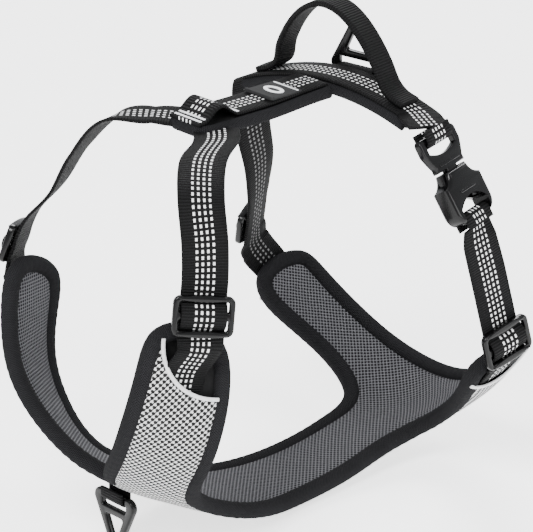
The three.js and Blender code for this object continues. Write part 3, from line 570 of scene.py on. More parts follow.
def full_ring(count, half_width, half_height, widen, heighten):
    """A superellipse's points: the lower the two powers, the squarer it is."""
    ring = []
    for k in range(count):
        c, s = math.cos(2 * math.pi * k / count), math.sin(2 * math.pi * k / count)
        x = half_width * math.copysign(abs(c) ** widen, c)
        ring.append((x, half_height(x) * math.copysign(abs(s) ** heighten, s)))
    return ring


def rounded_rectangle(width, length, radius, x=0.0, y=0.0):
    cx, cy, quarter = width / 2 - radius, length / 2 - radius, math.pi / 2
    corners = [(cx, cy, 0), (-cx, cy, 1), (-cx, -cy, 2), (cx, -cy, 3)]
    return [point for px, py, k in corners
            for point in arc(x + px, y + py, radius, k * quarter, (k + 1) * quarter, 6)]


def moulding(name, outline, holes, depth, round_edge, material, matrix):
    """A flat moulded part with rounded edges, from an outline and its holes."""
    curve = bpy.data.curves.new(name, "CURVE")
    curve.dimensions, curve.fill_mode = "2D", "BOTH"
    for loop in [outline, *holes]:
        spline = curve.splines.new("POLY")
        spline.points.add(len(loop) - 1)
        for point, (x, y) in zip(spline.points, loop):
            point.co = (x, y, 0, 1)
        spline.use_cyclic_u = True
    curve.extrude = depth / 2 - round_edge
    curve.bevel_depth = round_edge
    curve.bevel_resolution = 3
    curve.offset = -round_edge
    source = add_object(name + "_curve", curve)
    bpy.context.view_layer.update()
    mesh = bpy.data.meshes.new_from_object(source.evaluated_get(bpy.context.evaluated_depsgraph_get()))
    bpy.data.objects.remove(source)
    shape = bmesh.new()
    shape.from_mesh(mesh)
    bmesh.ops.remove_doubles(shape, verts=shape.verts, dist=0.01)
    shape.transform(Matrix(matrix.tolist()))
    bmesh.ops.scale(shape, vec=(MM, MM, MM), verts=shape.verts)
    bmesh.ops.recalc_face_normals(shape, faces=shape.faces)
    shape.to_mesh(mesh)
    shape.free()
    mesh.materials.clear()
    mesh.materials.append(material)
    obj = add_object(name, mesh)
    soften(obj)
    return obj


def soften(obj):
    """Smooth shading with sharp edges kept."""
    mesh = obj.data
    mesh.polygons.foreach_set("use_smooth", [True] * len(mesh.polygons))
    mesh.set_sharp_from_angle(angle=math.radians(35))


def box_object(name, size, centre, matrix):
    sx, sy, sz = (value / 2 for value in size)
    corners = [(centre[0] + x * sx, centre[1] + y * sy, centre[2] + z * sz)
               for x in (-1, 1) for y in (-1, 1) for z in (-1, 1)]
    faces = [(0, 1, 3, 2), (4, 6, 7, 5), (0, 4, 5, 1), (2, 3, 7, 6), (0, 2, 6, 4), (1, 5, 7, 3)]
    return make(name, placed(corners, matrix), faces, [])


def cut(obj, cutters):
    """Takes each cutter out of the object and deletes it."""
    for cutter in cutters:
        modifier = obj.modifiers.new("cut", "BOOLEAN")
        modifier.operation, modifier.solver, modifier.object = "DIFFERENCE", "EXACT", cutter
        apply_modifier(obj, modifier)
        bpy.data.objects.remove(cutter)


# ---- chest plate --------------------------------------------------------------------------------

def plate_cage():
    """Points and quads of the whole cage, the far half mirrored from the near one."""
    points, index, faces = [], {}, []

    def at(point, side):
        spot = mirrored(point) if side < 0 and point[0] else point
        if spot not in index:
            index[spot] = len(points)
            points.append(spot)
        return index[spot]

    def quad(side, corners):
        face = [at(corner, side) for corner in corners]
        faces.append(face[::-1] if side > 0 else face)

    rows = [(NECK_ARM[4][2], NECK_ARM[5][2]), *BELLY, (GIRTH_ARM[1][0], GIRTH_ARM[0][0])]
    for side in (1, -1):
        for i in range(len(NECK_ARM) - 1):
            neck, next_neck, girth, next_girth = NECK_ARM[i], NECK_ARM[i + 1], GIRTH_ARM[i], GIRTH_ARM[i + 1]
            for k in range(2):
                quad(side, (neck[k], neck[k + 1], next_neck[k + 1], next_neck[k]))
                quad(side, (next_girth[k], next_girth[k + 1], girth[k + 1], girth[k]))
            quad(side, (rows[i][0], rows[i + 1][0], rows[i + 1][1], rows[i][1]))
    return points, faces


def boundary_loop(faces):
    """Boundary vertices in order, walking with the faces' own direction."""
    directed = {(int(a), int(b)) for face in faces for a, b in zip(face, np.roll(face, -1))}
    follow = {a: b for a, b in directed if (b, a) not in directed}
    loop = [min(follow)]
    while follow[loop[-1]] != loop[0]:
        loop.append(follow[loop[-1]])
    return loop


def flat_layout(obj):
    """Unwraps the sheet and returns one flat millimetre position per vertex."""
    select([obj])
    bpy.ops.object.mode_set(mode="EDIT")
    bpy.ops.mesh.select_all(action="SELECT")
    bpy.ops.uv.unwrap(method="ANGLE_BASED", margin=0.0)
    bpy.ops.object.mode_set(mode="OBJECT")
    mesh = obj.data
    uv = np.zeros(2 * len(mesh.loops))
    mesh.uv_layers[0].data.foreach_get("uv", uv)
    owner = np.zeros(len(mesh.loops), int)
    mesh.loops.foreach_get("vertex_index", owner)
    flat = np.zeros((len(mesh.vertices), 2))
    flat[owner] = uv.reshape(-1, 2)
    return flat


class PlateSurface:
    """The chest plate's middle surface, finely subdivided."""

    def __init__(self):
        points, cage_faces = plate_cage()
        obj = make("plate_surface", points, cage_faces, [])
        modifier = obj.modifiers.new("round", "SUBSURF")
        modifier.levels, modifier.boundary_smooth = 4, "ALL"
        apply_modifier(obj, modifier)
        mesh = obj.data
        self.points = np.array([v.co for v in mesh.vertices]) / MM
        self.faces = [list(p.vertices) for p in mesh.polygons]
        self.normals = np.array([v.normal for v in mesh.vertices])
        middle = self.points.mean(axis=0) + np.array((0, 0, 90))
        if np.sum((self.points - middle) * self.normals) < 0:
            self.normals = -self.normals
            self.faces = [face[::-1] for face in self.faces]
        self.loop = boundary_loop(self.faces)
        self.inward = self._inward()
        self.depth = self._depth()
        flat = flat_layout(obj)
        self.flat = flat * self._flat_scale(flat)
        bpy.data.objects.remove(obj)

    def _inward(self):
        rim = self.points[self.loop]
        along = np.roll(rim, -1, axis=0) - np.roll(rim, 1, axis=0)
        inward = np.cross(self.normals[self.loop], along)
        return inward / np.linalg.norm(inward, axis=1)[:, None]

    def _depth(self):
        """Distance of each point from the sheet's edge."""
        tree = KDTree(len(self.loop))
        for i, index in enumerate(self.loop):
            tree.insert(self.points[index], i)
        tree.balance()
        return np.array([tree.find(point)[2] for point in self.points])

    def _flat_scale(self, flat):
        edges = np.array([(a, b) for face in self.faces for a, b in zip(face, np.roll(face, -1))])
        real = np.linalg.norm(self.points[edges[:, 0]] - self.points[edges[:, 1]], axis=1).sum()
        drawn = np.linalg.norm(flat[edges[:, 0]] - flat[edges[:, 1]], axis=1).sum()
        return real / drawn


def ramp(value, low, high):
    t = np.clip((value - low) / (high - low), 0, 1)
    return t * t * (3 - 2 * t)


def layer(name, surface, low, high, keep, materials, nudge=None):
    """A closed sheet between two heights over the surface, of the faces that keep every corner."""
    faces = [face for face in surface.faces if keep[face].all()]
    used = sorted({i for face in faces for i in face})
    place = {old: new for new, old in enumerate(used)}
    count = len(used)
    base = surface.points[used] + (nudge[used] if nudge is not None else 0)
    normals = surface.normals[used]
    vertices = np.vstack([base + normals * high[used][:, None], base + normals * low[used][:, None]])
    flat = np.vstack([surface.flat[used], surface.flat[used]])
    tops = [[place[i] for i in face] for face in faces]
    unders = [[i + count for i in face[::-1]] for face in tops]
    directed = {(a, b) for face in tops for a, b in zip(face, face[1:] + face[:1])}
    walls = [(b, a, a + count, b + count) for a, b in sorted(directed) if (b, a) not in directed]
    every = tops + unders + walls
    loop_uv = [flat[i] for face in every for i in face]
    index = [0] * len(tops) + [len(materials) - 1] * (len(unders) + len(walls))
    return make(name, vertices, every, materials, loop_uv, index)


def inflate(obj, pinned, pressure, cap):
    """Swells a closed pad by cloth simulation and caps how far each point moves."""
    mesh = obj.data
    before = np.array([v.co for v in mesh.vertices])
    group = obj.vertex_groups.new(name="edge")
    group.add([int(i) for i in np.nonzero(pinned)[0]], 1.0, "REPLACE")
    modifier = obj.modifiers.new("swell", "CLOTH")
    settings = modifier.settings
    settings.use_pressure = True
    settings.uniform_pressure_force = pressure
    settings.vertex_group_mass = group.name
    settings.effector_weights.gravity = 0
    modifier.collision_settings.use_collision = False
    scene = bpy.context.scene
    for step in range(1, CLOTH_FRAMES + 1):
        scene.frame_set(step)
    solved = obj.evaluated_get(bpy.context.evaluated_depsgraph_get()).data
    after = np.array([v.co for v in solved.vertices])
    obj.modifiers.remove(modifier)
    obj.vertex_groups.clear()
    scene.frame_set(1)
    move = after - before
    far = np.linalg.norm(move, axis=1)[:, None]
    move *= np.minimum(1.0, cap * MM / np.maximum(far, 1e-9))
    mesh.vertices.foreach_set("co", (before + move).ravel())
    mesh.update()
    return move / MM


def chest_pad(surface):
    """Foam pad with the grey mesh lining on the dog's side; the outside is black fabric."""
    keep = surface.depth > 4.0
    soft = ramp(surface.depth, 4, 16)
    low, high = -(1.6 + 1.9 * soft), 0.5 + 0.3 * soft
    pad = layer("chest_pad", surface, low, high, keep, [PAD_BLACK, LINING])
    count = len(pad.data.vertices) // 2
    depth = surface.depth[sorted({i for face in surface.faces if keep[face].all() for i in face})]
    outside = np.concatenate([np.ones(count, bool), depth < 7.5])
    inflate(pad, outside, 4.0, 5.0)
    stand_for(pad, ROOT, "chest_plate_lining", "chest_plate_foam", slot="lining")


def edge_binding(surface):
    """Knitted tape folded round the plate's edge."""
    angles = np.arange(14) * 2 * math.pi / 14
    across = EDGE_WIDTH / 2 + 0.56 * EDGE_WIDTH * np.sign(np.cos(angles)) * np.abs(np.cos(angles)) ** 0.85
    height = EDGE_HALF * np.sign(np.sin(angles)) * np.abs(np.sin(angles)) ** 0.8
    rim = surface.points[surface.loop]
    normals = surface.normals[surface.loop]
    travel = lengths_along(rim, closed=True)
    pucker = 1 + 0.035 * np.sin(travel[:-1] * 2 * math.pi / 5.5)
    rings = [rim[i] + across[:, None] * surface.inward[i] + (height * pucker[i])[:, None] * normals[i]
             for i in range(len(rim))]
    section_u = np.arange(15) * 1.9
    obj = sweep("chest_edge_binding", rings, section_u, travel, [BINDING], closed=True)
    stand_for(obj, ROOT, "chest_plate_binding", slot="binding")


def stitches(name, starts, ends, ups, material, radius=0.32):
    """Short raised threads, one per pair of points."""
    vertices, faces = [], []
    for a, b, up in zip(starts, ends, ups):
        along = unit(b - a)
        side = unit(np.cross(along, up))
        base = len(vertices)
        for point, grow in ((a, 0.35), ((a * 3 + b) / 4, 1), ((a + 3 * b) / 4, 1), (b, 0.35)):
            for angle in (0, 90, 180, 270):
                c, s = math.cos(math.radians(angle)), math.sin(math.radians(angle))
                vertices.append(point + radius * grow * (c * side + s * up))
        for i in range(3):
            for k in range(4):
                n = (k + 1) % 4
                faces.append((base + 4 * i + k, base + 4 * i + n, base + 4 * i + 4 + n, base + 4 * i + 4 + k))
        faces += [(base, base + 1, base + 2, base + 3), (base + 12, base + 13, base + 14, base + 15)]
    return make(name, vertices, faces, [material], [(0.0, 0.0)] * sum(len(f) for f in faces))


def binding_stitches(surface):
    rim = surface.points[surface.loop]
    normals = surface.normals[surface.loop]
    travel = lengths_along(rim, closed=True)
    places = np.arange(0, travel[-1] - 4, 3.6)
    starts, ends, ups = [], [], []
    for side in (1, -1):
        seam = rim + surface.inward * (EDGE_WIDTH - 1.1) + normals * side * (EDGE_HALF * 0.63)
        for place_at in places:
            i, j = np.searchsorted(travel, [place_at, place_at + 2.2])
            starts.append(seam[i % len(rim)])
            ends.append(seam[j % len(rim)] + 1e-3)
            ups.append(normals[i % len(rim)] * side)
    long_enough = [k for k in range(len(starts)) if np.linalg.norm(ends[k] - starts[k]) > 1]
    starts, ends, ups = ([values[k] for k in long_enough] for values in (starts, ends, ups))
    stand_for(stitches("binding_seam", starts, ends, ups, DARK_THREAD), ROOT)


ARMS = [
    ("near_neck", NECK_ARM, (0, 1, 2), 1), ("far_neck", NECK_ARM, (0, 1, 2), -1),
    ("near_girth", GIRTH_ARM, (5, 4, 3), 1), ("far_girth", GIRTH_ARM, (5, 4, 3), -1),
]


def pocket_frame(rows, order, side):
    """Frame at the middle of a pocket, Y towards the arm's tip."""
    tip, middle, deep = (rows[i] for i in order)
    pick = (lambda p: np.asarray(mirrored(p), float)) if side < 0 else (lambda p: np.asarray(p, float))
    up = unit(pick(tip[1]) - pick(deep[1]))
    across = pick(middle[2]) - pick(middle[0])
    return strap_frame(pick(middle[1]), across, up)


def mouth_edge(name):
    """The pocket mouth's edge in the pocket's own plane, as (x, y) points."""
    if name.endswith("neck"):
        curve = arc(NECK_MOUTH_X, MOUTH_RISE, NECK_MOUTH, math.pi, 1.5 * math.pi, 24)
        top, end = MOUTH_RISE + 14, NECK_MOUTH_X + 18
        return [(NECK_MOUTH_X - NECK_MOUTH, top)] + curve + [(end, MOUTH_RISE - NECK_MOUTH)]
    return arc(0, MOUTH_RISE, GIRTH_MOUTH, math.pi, 2 * math.pi, 32)


def mouth_depth(name, x, y):
    """How far inside the open mouth a point is: negative on the covered side."""
    if name.endswith("neck"):
        inside_arc = NECK_MOUTH - np.hypot(x - NECK_MOUTH_X, y - MOUTH_RISE)
        right = np.where(x > NECK_MOUTH_X, y - (MOUTH_RISE - NECK_MOUTH), inside_arc)
        return np.where((y > MOUTH_RISE) & (x <= NECK_MOUTH_X), x - (NECK_MOUTH_X - NECK_MOUTH), right)
    inside_arc = GIRTH_MOUTH - np.hypot(x, y - MOUTH_RISE)
    return np.where(y > MOUTH_RISE, GIRTH_MOUTH - np.abs(x), inside_arc)


def outer_cover(surface):
    """Jacquard cover, cut away at the four pocket mouths; points beside a mouth are moved onto its edge."""
    keep = surface.depth > 5.0
    nudge = np.zeros_like(surface.points)
    for name, rows, order, side in ARMS:
        matrix = pocket_frame(rows, order, side)
        local = placed(surface.points, np.linalg.inv(matrix))
        x, y, z = local.T
        near = (np.abs(x) < 45) & (y > -50) & (y < 70) & (np.abs(z) < 32)
        depth = mouth_depth(name, x, y)
        step = 0.01
        slope_x = (mouth_depth(name, x + step, y) - depth) / step
        slope_y = (mouth_depth(name, x, y + step) - depth) / step
        keep &= ~(near & (depth > 1.0))
        snap = near & (depth <= 1.0) & (depth > -1.4)
        shift = np.zeros_like(local)
        shift[:, 0], shift[:, 1] = -slope_x * depth, -slope_y * depth
        nudge[snap] += shift[snap] @ matrix[:3, :3].T
    low = 2.3 + 1.6 * ramp(surface.depth, 5, 12)
    obj = layer("chest_cover", surface, low, low + 0.8, keep, [COVER, PAD_BLACK], nudge)
    stand_for(obj, ROOT, "chest_plate_cover", slot="cover")


def pocket_piping(surface):
    tree = BVHTree.FromPolygons([tuple(p) for p in surface.points], surface.faces)
    for name, rows, order, side in ARMS:
        matrix = pocket_frame(rows, order, side)
        nearest = int(np.argmin(np.linalg.norm(surface.points - matrix[:3, 3], axis=1)))
        facing = np.sign(np.dot(matrix[:3, 2], surface.normals[nearest]))
        outward = matrix[:3, 2] * facing
        points, ups = [], []
        for spot in mouth_edge(name):
            start = placed([(spot[0], spot[1], 40 * facing)], matrix)[0]
            hit = tree.ray_cast(Vector(start), Vector(-outward), 80)
            if hit[0] is not None:
                points.append(np.array(hit[0]))
                ups.append(np.array(hit[1]) * (1 if np.dot(hit[1], outward) > 0 else -1))
        points = [p + u * 4.5 for p, u in zip(points, ups)]
        obj = tube(f"{name}_piping", points, 1.15, PIPING, sides=10, ups=ups, squash=(1.0, 0.7))
        stand_for(obj, ROOT, f"{name}_pocket_piping", slot="piping")


# ---- spine and band -----------------------------------------------------------------------------

def spine_rise(y):
    return 2.4 * ramp(np.asarray(y, float), -10, 38)


def spine_pad():
    """A crowned pad, fullest along its middle."""
    inner, front = SPINE_HALF - SPINE_BINDING + 1.2, SPINE_FRONT + SPINE_BINDING - 1.2
    rings, ys = [], np.linspace(front, SPINE_REAR, 40)
    for y in ys:
        end = min(1.0, 0.25 + 0.75 * ramp(y, front - 0.1, front + 4))

        def half_height(x, end=end):
            return SPINE_HEIGHT / 2 * (0.78 + 0.12 * (1 - (x / inner) ** 2)) * end

        middle = SPINE_HEIGHT / 2 + spine_rise(y)
        ring = full_ring(CUSHION_SIDES, inner * (0.9 + 0.1 * end), half_height, 0.5, 0.6)
        rings.append([(x, y, middle + height) for x, height in ring])
    obj = sweep("spine_cushion", rings, np.linspace(0, 60, CUSHION_SIDES + 1), ys, [PAD_BLACK])
    stand_for(obj, ROOT, "spine_pad", slot="foam")


def spine_binding():
    middle = SPINE_HALF - SPINE_BINDING / 2
    radius = SPINE_CORNER - SPINE_BINDING / 2
    cx, cy = middle - radius, SPINE_FRONT + SPINE_BINDING / 2 + radius
    left = [(-middle, y) for y in np.linspace(SPINE_REAR, cy, 24)]
    path = left + arc(-cx, cy, radius, math.pi, 1.5 * math.pi)[1:]
    path += arc(cx, cy, radius, 1.5 * math.pi, 2 * math.pi)
    path += [(-x, y) for x, y in reversed(left[:-1])]
    points = [(x, y, SPINE_HEIGHT / 2 + float(spine_rise(y))) for x, y in path]
    obj = tube("spine_edge_binding", points, SPINE_HEIGHT / 2 + 0.2, BINDING, sides=14, squash=(0.78, 1.0))
    stand_for(obj, ROOT, "spine_binding", slot="binding")


def arch_rise(y):
    t = min(max((y - ARCH_FRONT) / (ARCH_REAR - ARCH_FRONT), 0), 1)
    return ARCH_HEIGHT * math.sin(math.pi * t) ** 1.5


def web_height(y):
    return SPINE_HEIGHT + 0.3 + WEB_THICKNESS / 2 + arch_rise(y) + float(spine_rise(y)) * 0.85


def spine_webbing():
    ys = np.linspace(SPINE_FRONT + 1, SPINE_REAR, 48)
    section, section_u, sides = web_section(WEB_WIDTH, WEB_THICKNESS)
    rings = [[(a, y, web_height(y) + h) for a, h in section] for y in ys]
    obj = sweep("spine_strap", rings, section_u, ys, [WEBBING, WEBBING_PLAIN], sides)
    stand_for(obj, ROOT, "spine_webbing", slot="webbing")


def bar_tack(name, y):
    """A dense row of white stitches across the spine webbing."""
    half_width, threads, length = 10.0, 18, 1.8
    xs = np.linspace(-half_width, half_width, threads)
    z = web_height(y) + WEB_THICKNESS / 2 + 0.15
    starts = [np.array((x - 0.3, y - length / 2, z)) for x in xs]
    ends = [np.array((x + 0.3, y + length / 2, z)) for x in xs]
    up = np.array((0.0, 0.0, 1.0))
    stand_for(stitches(name, starts, ends, [up] * threads, WHITE_THREAD, 0.5), ROOT)


def spine_label():
    """Woven patch with a folded front edge, a plain oval mark and a white stripe near its rear edge."""
    z = web_height(LABEL_Y) + WEB_THICKNESS / 2
    here = moved(np.identity(4), y=LABEL_Y, z=z + 0.55)
    patch = rounded_rectangle(LABEL_SIZE, LABEL_SIZE, 1.5)
    pieces = [moulding("spine_patch", patch, [], 1.1, 0.4, LABEL_CLOTH, here)]
    fold = rounded_rectangle(LABEL_SIZE, 2.6, 1.1, 0, -LABEL_SIZE / 2 + 1.2)
    pieces.append(moulding("patch_fold", fold, [], 1.8, 0.6, LABEL_CLOTH, moved(here, z=0.5)))
    mark, hole = oval(0, 0.3, 7.2, 4.2), oval(0, 0.3, 4.6, 1.9, 32)
    pieces.append(moulding("patch_mark", mark, [hole], 0.5, 0.15, WHITE_THREAD, moved(here, z=0.62)))
    stripe = rounded_rectangle(LABEL_SIZE - 3, 1.0, 0.4, 0, LABEL_SIZE / 2 - 2.2)
    pieces.append(moulding("patch_stripe", stripe, [], 0.5, 0.15, WHITE_THREAD, moved(here, z=0.62)))
    stand_for(joined("spine_patch", pieces), ROOT, "spine_label", slot="label")


def band_drop(x):
    return -BAND_DROP * (x / BAND_LENGTH) ** 2


def band_pad():
    """A full pad that drops towards both ends."""
    matrix = band_matrix()
    inner = BAND_HALF - BAND_BINDING + 1.4
    middle, half = (BAND_BASE + BAND_TOP) / 2, (BAND_TOP - BAND_BASE) / 2
    ring = full_ring(CUSHION_SIDES, inner, lambda y: 0.88 * half, 0.55, 0.6)
    xs = np.linspace(-BAND_LENGTH, BAND_LENGTH, 50)
    rings = [placed([(x, y, middle + height + band_drop(x)) for y, height in ring], matrix) for x in xs]
    obj = sweep("band_cushion", rings, np.linspace(0, 60, CUSHION_SIDES + 1), xs, [PAD_BLACK])
    stand_for(obj, ROOT, "girth_band", slot="foam")


def band_bindings():
    matrix = band_matrix()
    for name, side in (("front", -1), ("rear", 1)):
        y = side * (BAND_HALF - BAND_BINDING / 2)
        xs = np.linspace(-BAND_LENGTH, BAND_LENGTH, 70)
        points = placed([(x, y, (BAND_BASE + BAND_TOP) / 2 + band_drop(x)) for x in xs], matrix)
        obj = tube(f"band_{name}_edge", points, 3.1, BINDING, sides=14, squash=(0.8, 1.0))
        stand_for(obj, ROOT, f"girth_band_{name}_binding", slot="binding")


# ---- straps -------------------------------------------------------------------------------------

def band_point(x, height):
    return placed([(x, 0, band_drop(x) + height)], band_matrix())[0]


def pocket_end(surface, rows, order, side):
    """The strap's last stretch, lying on the pad inside its pocket."""
    tip, middle, deep = ([np.asarray(mirrored(p) if side < 0 else p, float) for p in rows[i]] for i in order)
    across = (tip[2] + middle[2]) / 2 - (tip[0] + middle[0]) / 2

    def on_plate(target, height):
        i = int(np.argmin(np.linalg.norm(surface.points - target, axis=1)))
        return surface.points[i] + surface.normals[i] * height

    return [[on_plate((tip[1] + middle[1]) / 2, 4.6), across], [on_plate(middle[1], 2.1), across],
            [on_plate((middle[1] + deep[1]) / 2, 0.9), across]]


def buckle_matrix():
    return strap_frame(BUCKLE_MOUTH, BUCKLE_ACROSS, BUCKLE_UP)


def straps(surface):
    frame_at = buckle_matrix()
    above = placed([(0, BUCKLE_MALE + 3.5, 0)], frame_at)[0]
    below = placed([(0, -BUCKLE_FEMALE - 3.4, 0)], frame_at)[0]
    yaw = math.radians(BAND_YAW)
    band_across = (-math.sin(yaw), math.cos(yaw), 0)
    height, end = BAND_TOP + 1.4, BAND_LENGTH - 1
    over = [[band_point(x, height), band_across] for x in (-end, -38, -19, 0, 19, 38, end)]
    halfway = band_point(end, height) * 0.45 + above * 0.55
    far_down = FAR_GIRTH_ROUTE + pocket_end(surface, GIRTH_ARM, (5, 4, 3), -1)
    route = far_down[::-1] + over + [[halfway, band_across], [above, BUCKLE_ACROSS]]
    obj = ribbon("back_strap", route, WEBBING_DIM, WEBBING)
    stand_for(obj, ROOT, "back_webbing", slot="webbing")
    route = [[below, BUCKLE_ACROSS]] + NEAR_GIRTH_ROUTE + pocket_end(surface, GIRTH_ARM, (5, 4, 3), 1)
    obj = ribbon("near_girth_strap", route, WEBBING_PLAIN, WEBBING)
    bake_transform(obj)
    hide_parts("near_girth_webbing")
    route = NEAR_NECK_ROUTE + pocket_end(surface, NECK_ARM, (0, 1, 2), 1)[1:]
    obj = ribbon("near_neck_strap", route, WEBBING_PLAIN, WEBBING)
    stand_for(obj, ROOT, "near_neck_webbing", slot="webbing")
    route = FAR_NECK_ROUTE + pocket_end(surface, NECK_ARM, (0, 1, 2), -1)[1:]
    obj = ribbon("far_neck_strap", route, WEBBING, WEBBING_PLAIN)
    stand_for(obj, ROOT, "far_neck_webbing", slot="webbing")


# ---- handle and rings ---------------------------------------------------------------------------

def handle():
    top = BAND_TOP + WEB_THICKNESS + 1.2 + HANDLE_THICKNESS / 2
    rise = HANDLE_APEX - HANDLE_PIVOT
    across = (0, 1, 0)
    foot = [(HANDLE_REACH + 14, 0.0), (HANDLE_REACH + 6, 0.3), (HANDLE_REACH + 0.5, 3.6)]
    near = [(x, 0, top + band_drop(x) + lift) for x, lift in foot]
    arch = []
    for angle in np.linspace(HANDLE_START, math.pi - HANDLE_START, 13):
        x = HANDLE_REACH * math.cos(angle) - HANDLE_SKEW * math.sin(angle)
        arch.append((x, 0, HANDLE_PIVOT + rise * math.sin(angle) ** HANDLE_PEAK))
    far = [mirrored(centre) for centre in reversed(near)]
    matrix = band_matrix()
    across_here = matrix[:3, :3] @ np.asarray(across, float)
    route = [[placed([centre], matrix)[0], across_here] for centre in near + arch + far]
    obj = ribbon("handle_strap", route, WEBBING_PLAIN, None, HANDLE_WIDTH, HANDLE_THICKNESS, steps=8)
    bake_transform(obj)
    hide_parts("handle_grip", "handle_near_foot", "handle_far_foot")


def ring_shape(half, height, depth, slot):
    """Triangular ring, its bar at the origin: outline, strap window and eye."""
    bar, tip, corner = depth / 2, half * 0.42, 5
    tip_y = -height + bar + tip
    outline = arc(half - corner, bar - corner, corner, math.pi / 2, -0.35, 10)
    outline += arc(0, tip_y, tip, -0.5, -math.pi + 0.5, 14)
    outline += arc(-half + corner, bar - corner, corner, math.pi + 0.35, math.pi / 2, 10)
    window = rounded_rectangle(slot, 5.2, 1.2, 0, -bar - 2.6)
    eye_top, eye, fillet = -bar - 9.6, tip * 0.45, 1.2
    corner_x, corner_y = half * 0.42 - fillet, eye_top - fillet
    hole = arc(corner_x, corner_y, fillet, math.pi / 2, -0.4, 6)
    hole += arc(0, tip_y + 0.8, eye, -0.4, -math.pi + 0.4, 12)
    hole += arc(-corner_x, corner_y, fillet, math.pi + 0.4, math.pi / 2, 6)
    return outline, [window, hole]


def fold_piece(name, matrix, width, leg, bar_width, bar_depth, materials):
    """Webbing folded round a bar: its legs run along the matrix's Y axis."""
    inner = math.hypot(bar_width, bar_depth) / 2 + 0.3
    middle = inner + 0.65
    bend = [(middle * math.cos(a), middle * math.sin(a)) for a in np.linspace(math.pi / 2, 1.5 * math.pi, 14)]
    path = [(leg, middle), (leg / 2, middle)] + bend + [(leg / 2, -middle), (leg, -middle)]
    return folded_web(name, path, width, 1.3, matrix, materials, -1)


def rings():
    band = band_matrix()
    back_bar = moved(band, y=BAND_HALF + BACK_RING_BEHIND, z=BACK_RING_Z)
    upright = turned(back_bar, -90, "X")
    outline, holes = ring_shape(**BACK_RING)
    obj = moulding("back_leash_ring_moulding", outline, holes, BACK_RING["depth"], 1.1, PLASTIC, upright)
    stand_for(obj, "back_leash_ring", "back_ring", slot="plastic")
    legs_in = turned(back_bar, 180, "X")
    obj = fold_piece("back_ring_loop", legs_in, 24, BACK_RING_BEHIND, 2.8, 2.8, [WEBBING_PLAIN])
    stand_for(obj, ROOT, "back_ring_tab", slot="webbing")
    front_bar = turned(moved(np.identity(4), *FRONT_RING_BAR), 90, "X")
    outline, holes = ring_shape(**FRONT_RING)
    obj = moulding("front_leash_ring_moulding", outline, holes, FRONT_RING["depth"], 1.1, PLASTIC, front_bar)
    stand_for(obj, "front_leash_ring", "front_ring", slot="plastic")
    obj = fold_piece("front_ring_loop", front_bar, 18, 4.5, 2.8, 2.8, [WEBBING_PLAIN])
    stand_for(obj, ROOT, "front_ring_tab", slot="webbing")


# ---- adjusters ----------------------------------------------------------------------------------

def adjuster(name, route, index, flip):
    """Frame and webbing fold at one row of a route; flip turns it to face the other way."""
    centre, across = route[index]
    if flip:
        across = tuple(-value for value in across)
    up = np.subtract(route[index - 1][0], route[index + 1][0])
    matrix = moved(strap_frame(centre, across, up), z=SLIDER["lift"])
    slot_length = (SLIDER["length"] - SLIDER["bar"] - 2 * SLIDER["end_bar"]) / 2
    middle = (SLIDER["bar"] + slot_length) / 2
    outline = rounded_rectangle(SLIDER["width"], SLIDER["length"], SLIDER["corner"])
    slots = [rounded_rectangle(SLIDER["slot"], slot_length, 1.0, 0, side * middle) for side in (-1, 1)]
    parts = [moulding(f"{name}_adjuster_frame", outline, slots, SLIDER["depth"], 1.0, PLASTIC, matrix)]
    for side in (-1, 1):
        bar = oval(0, side * 9.5, 14.5, 1.9)
        parts.append(moulding("end_bar", bar, [], SLIDER["depth"] + 1.4, 1.1, PLASTIC, matrix))
    obj = joined(f"{name}_adjuster_frame", parts)
    stand_for(obj, f"{name}_adjuster", f"{name}_slider", slot="plastic")
    obj = adjuster_fold(name, matrix)
    stand_for(obj, f"{name}_adjuster", f"{name}_slider_fold", slot="webbing")


def adjuster_fold(name, matrix):
    """Webbing that comes up through one slot, bulges over the middle bar and goes down through the other."""
    rise = [(8.8, -2.4), (7.3, -1.3), (5.4, 0.8), (2.9, 2.5)]
    knots = rise + [(0, 3.0)] + [(-y, z) for y, z in reversed(rise)]
    points = [np.array(knot, float) for knot in knots]
    path = [tuple(curve_point(points, t)) for t in np.linspace(0, 1, 25)]
    return folded_web(f"{name}_adjuster_fold", path, WEB_WIDTH - 0.5, 1.4, matrix, [WEBBING], 1)


def adjusters():
    adjuster("near_neck", NEAR_NECK_ROUTE, 7, False)
    adjuster("near_girth", NEAR_GIRTH_ROUTE, 4, False)
    adjuster("far_neck", FAR_NECK_ROUTE, 7, True)
    adjuster("far_girth", FAR_GIRTH_ROUTE, 6, True)


# ---- buckle -------------------------------------------------------------------------------------

def bezier(a, b, c, count=8):
    """Points of a quadratic curve, without its first."""
    a, b, c = (np.array(point) for point in (a, b, c))
    return [tuple((1 - t) ** 2 * a + 2 * t * (1 - t) * b + t * t * c) for t in np.linspace(0, 1, count)[1:]]


def buckle_male(matrix):
    top, half = BUCKLE_MALE, BUCKLE_WIDTH / 2
    right = arc(half - 3, top - 3, 3, math.pi / 2, 0, 6) + [(half, top - 9)]
    right += bezier((half, top - 9), (half - 2, top - 14), (half - 4.5, 4))
    right += [(half - 4.5, 1.2), (5, 1.2), (4, -8)]
    outline = right + [(-x, y) for x, y in reversed(right)]
    slot = [(-13, top - 4), (13, top - 4), (13, top - 9.3)]
    slot += bezier((13, top - 9.3), (0, top - 15), (-13, top - 9.3), 14)[:-1] + [(-13, top - 9.3)]
    obj = moulding("buckle_male_half", outline, [slot], 4.6, 1.0, PLASTIC, matrix)
    rib = rounded_rectangle(20, 1.6, 0.7, 0, 4.6)
    raised = moulding("male_rib", rib, [], 5.6, 0.4, PLASTIC, matrix)
    stand_for(joined("buckle_male_half", [obj, raised]), ROOT, "buckle_male", slot="plastic")


